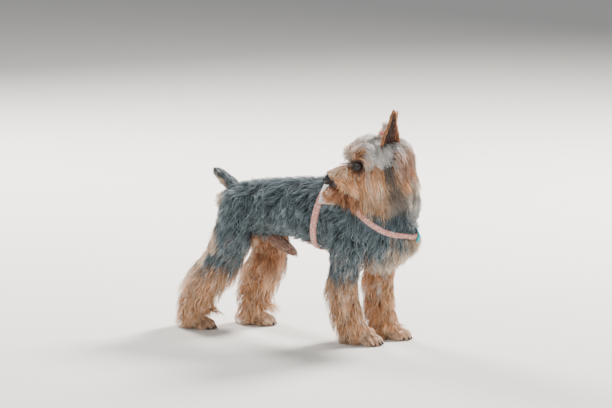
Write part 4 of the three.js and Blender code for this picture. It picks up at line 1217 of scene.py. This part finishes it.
def make_nose():
    d, faces = ball((0, 0, 0), (1, 1, 1), 72, 48)
    p = d * np.array([7.2, 8.3, 6.9])
    # Square the front, dent the nostrils and the groove between them
    p[:, 0] = np.where(d[:, 0] > 0, p[:, 0] * (1 - 0.16 * d[:, 0] ** 2), p[:, 0])
    p[:, 1] *= 1 - 0.22 * smooth(-d[:, 2], 0.1, 0.9)
    for s in SIDES:
        spot, corner = unit(np.array([0.86, 0.5 * s, -0.06])), unit(np.array([0.5, 0.86 * s, -0.2]))
        near = bump_at(np.linalg.norm((d - spot) * (1, 1.15, 1.5), axis=1), 0.3)
        slit = bump_at(np.linalg.norm((d - corner) * (0.7, 0.8, 2.4), axis=1), 0.33)
        p -= d * (3.4 * near + 1.3 * slit)[:, None]
    groove = bump_at(d[:, 1], 0.09) * smooth(d[:, 0], 0.1, 0.5) * smooth(0.45 - d[:, 2], 0, 0.5)
    p -= d * (0.9 * groove)[:, None]
    dress(make("nose_leather", out_of_head(p + NOSE_AT), faces), nose_material(), "nose_leather", "nose")


def make_lips():
    """Two thin dark lips that meet along the mouth's line, from one corner round the front to the other."""
    forms = []
    for offset, thick in ((0.75, 1.0), (-0.85, 0.9)):
        stops = []
        for s in SIDES:
            for x in np.linspace(30, 61, 22)[::s]:
                start = out_of_head([x, 30 * s, float(mouth_height(x)) + offset])
                hit = tree.ray_cast(Vector(start), Vector(turn_out_of_head([0, -s, 0])), 40)
                if hit[0] is not None:
                    stops.append((*hit[0], thick, thick))
        forms.append(tube(stops, sides=10, rounds=1, lateral=(0.02, 0.03, 1)))
    dress(make("lips", *joined(forms)), LIP_MATERIAL, "nose_leather")


make_nose()
make_lips()
claws = make("claws", *joined([f for name in LEG_NAMES for f in claw_forms(name)]))
dress(claws, plastic_material("claw horn", srgb(44, 38, 36), 0.4), "nose_leather")

# Harness


def strap(name, plane, start, end, width, thick, lift, slot, material, node_name, steps=150, stitch=True):
    """A woven band that follows the coat in a plane, from angle start to end in degrees."""
    centre_at, axis = plane
    outs, reach = ring_of(plane, start, end, steps)
    section = []
    for t in np.arange(9) / 4 - 1:
        section.append((t * width / 2, thick * (0.5 + 0.5 * sqrt(max(0, 1 - abs(t) ** 6)))))
    section += [(-h, 0.0) for h, _ in section]
    points, uv = [], []
    for i, out in enumerate(outs):
        for k, (h, r) in enumerate(section):
            ripple = 0.12 * sin(i * 2.4) if stitch and k in (1, 7) else 0
            points.append(centre_at + out * (reach[i] + lift + r + ripple) + axis * h)
            uv.append((i * 360 / steps * 0.75, h))
    closed = len(outs) == steps
    faces = [tuple(reversed(f)) for f in ring_faces(len(outs), len(section), closed, ends=not closed)]
    piece = make(name, np.array(points), faces)
    map_weave(piece, uv)
    dress(piece, material, slot, node_name)


webbing = cloth_material("coral webbing", srgb(226, 158, 146), srgb(244, 226, 222))
pale = cloth_material("pale lining", srgb(236, 232, 232), srgb(214, 222, 226))
blue = plastic_material("turquoise plastic", srgb(56, 208, 222), 0.3)
strap("girth_webbing", GIRTH, 0, 360, STRAP_WIDTH, 2.2, STRAP_LIFT, "strap", webbing, "girth_strap")
strap("neck_webbing", LOOP, 0, 360, STRAP_WIDTH, 2.2, STRAP_LIFT, "strap", webbing, "neck_strap")
strap("withers_pad", PAD, -62, 62, 24, 2.0, STRAP_LIFT + 3.3, "pad", pale, "back_pad", steps=60, stitch=False)
strap("buckle_body", LOOP, 169, 183, 12, 3.6, STRAP_LIFT + 2.9, "buckle", blue, "buckle", steps=12, stitch=False)

# Floor, light and camera

FLOOR_HALF = 6000
floor_points = [(x * FLOOR_HALF, y * FLOOR_HALF, 0) for x, y in ((-1, -1), (1, -1), (1, 1), (-1, 1))]
floor = make("floor", floor_points, [(0, 1, 2, 3)], shade=False, ride=False)
floor.data.materials.append(Paint("floor", Base_Color=np.array([0.62, 0.6, 0.57]), Roughness=0.9).material)


def area_light(name, at, size, power, colour):
    data = bpy.data.lights.new(name, "AREA")
    data.shape = "DISK"
    data.size = size
    data.energy = power
    data.color = colour
    lamp = placed(name, data)
    lamp.location = put(at)
    aim = Vector(put((0, 0, 150))) - lamp.location
    lamp.rotation_euler = aim.to_track_quat("-Z", "Y").to_euler()


area_light("key", (-500, -2300, 1700), 1.6, 37, (1.0, 0.98, 0.95))
area_light("rim", (700, 2000, 1900), 0.9, 330, (1.0, 0.96, 0.9))
area_light("rim_left", (-2000, 1100, 1500), 0.9, 170, (1.0, 0.96, 0.9))
world = bpy.context.scene.world or bpy.data.worlds.new("world")
bpy.context.scene.world = world
world.use_nodes = True
sky = world.node_tree.nodes["Background"].inputs
sky["Color"].default_value = (0.82, 0.84, 0.87, 1)
sky["Strength"].default_value = 0.55

# The photo's view: 28 degrees round from the right side, 9 degrees above level
AZIMUTH, ELEVATION, DISTANCE = radians(28), radians(9), 3500
MM_PER_PIXEL, IMAGE_WIDTH, SENSOR = 1.31, 612, 36
AIM = np.array([0.0, 0.0, 173.0])
away = np.array([sin(AZIMUTH) * cos(ELEVATION), -cos(AZIMUTH) * cos(ELEVATION), sin(ELEVATION)])
camera_data = bpy.data.cameras.new("camera")
camera_data.sensor_width = SENSOR
camera_data.lens = SENSOR * (DISTANCE / MM_PER_PIXEL) / IMAGE_WIDTH
camera_data.clip_end = 100
camera = placed("camera", camera_data)
camera.location = put(AIM + away * DISTANCE)
camera.rotation_euler = Vector(-away).to_track_quat("-Z", "Y").to_euler()
bpy.context.scene.camera = camera
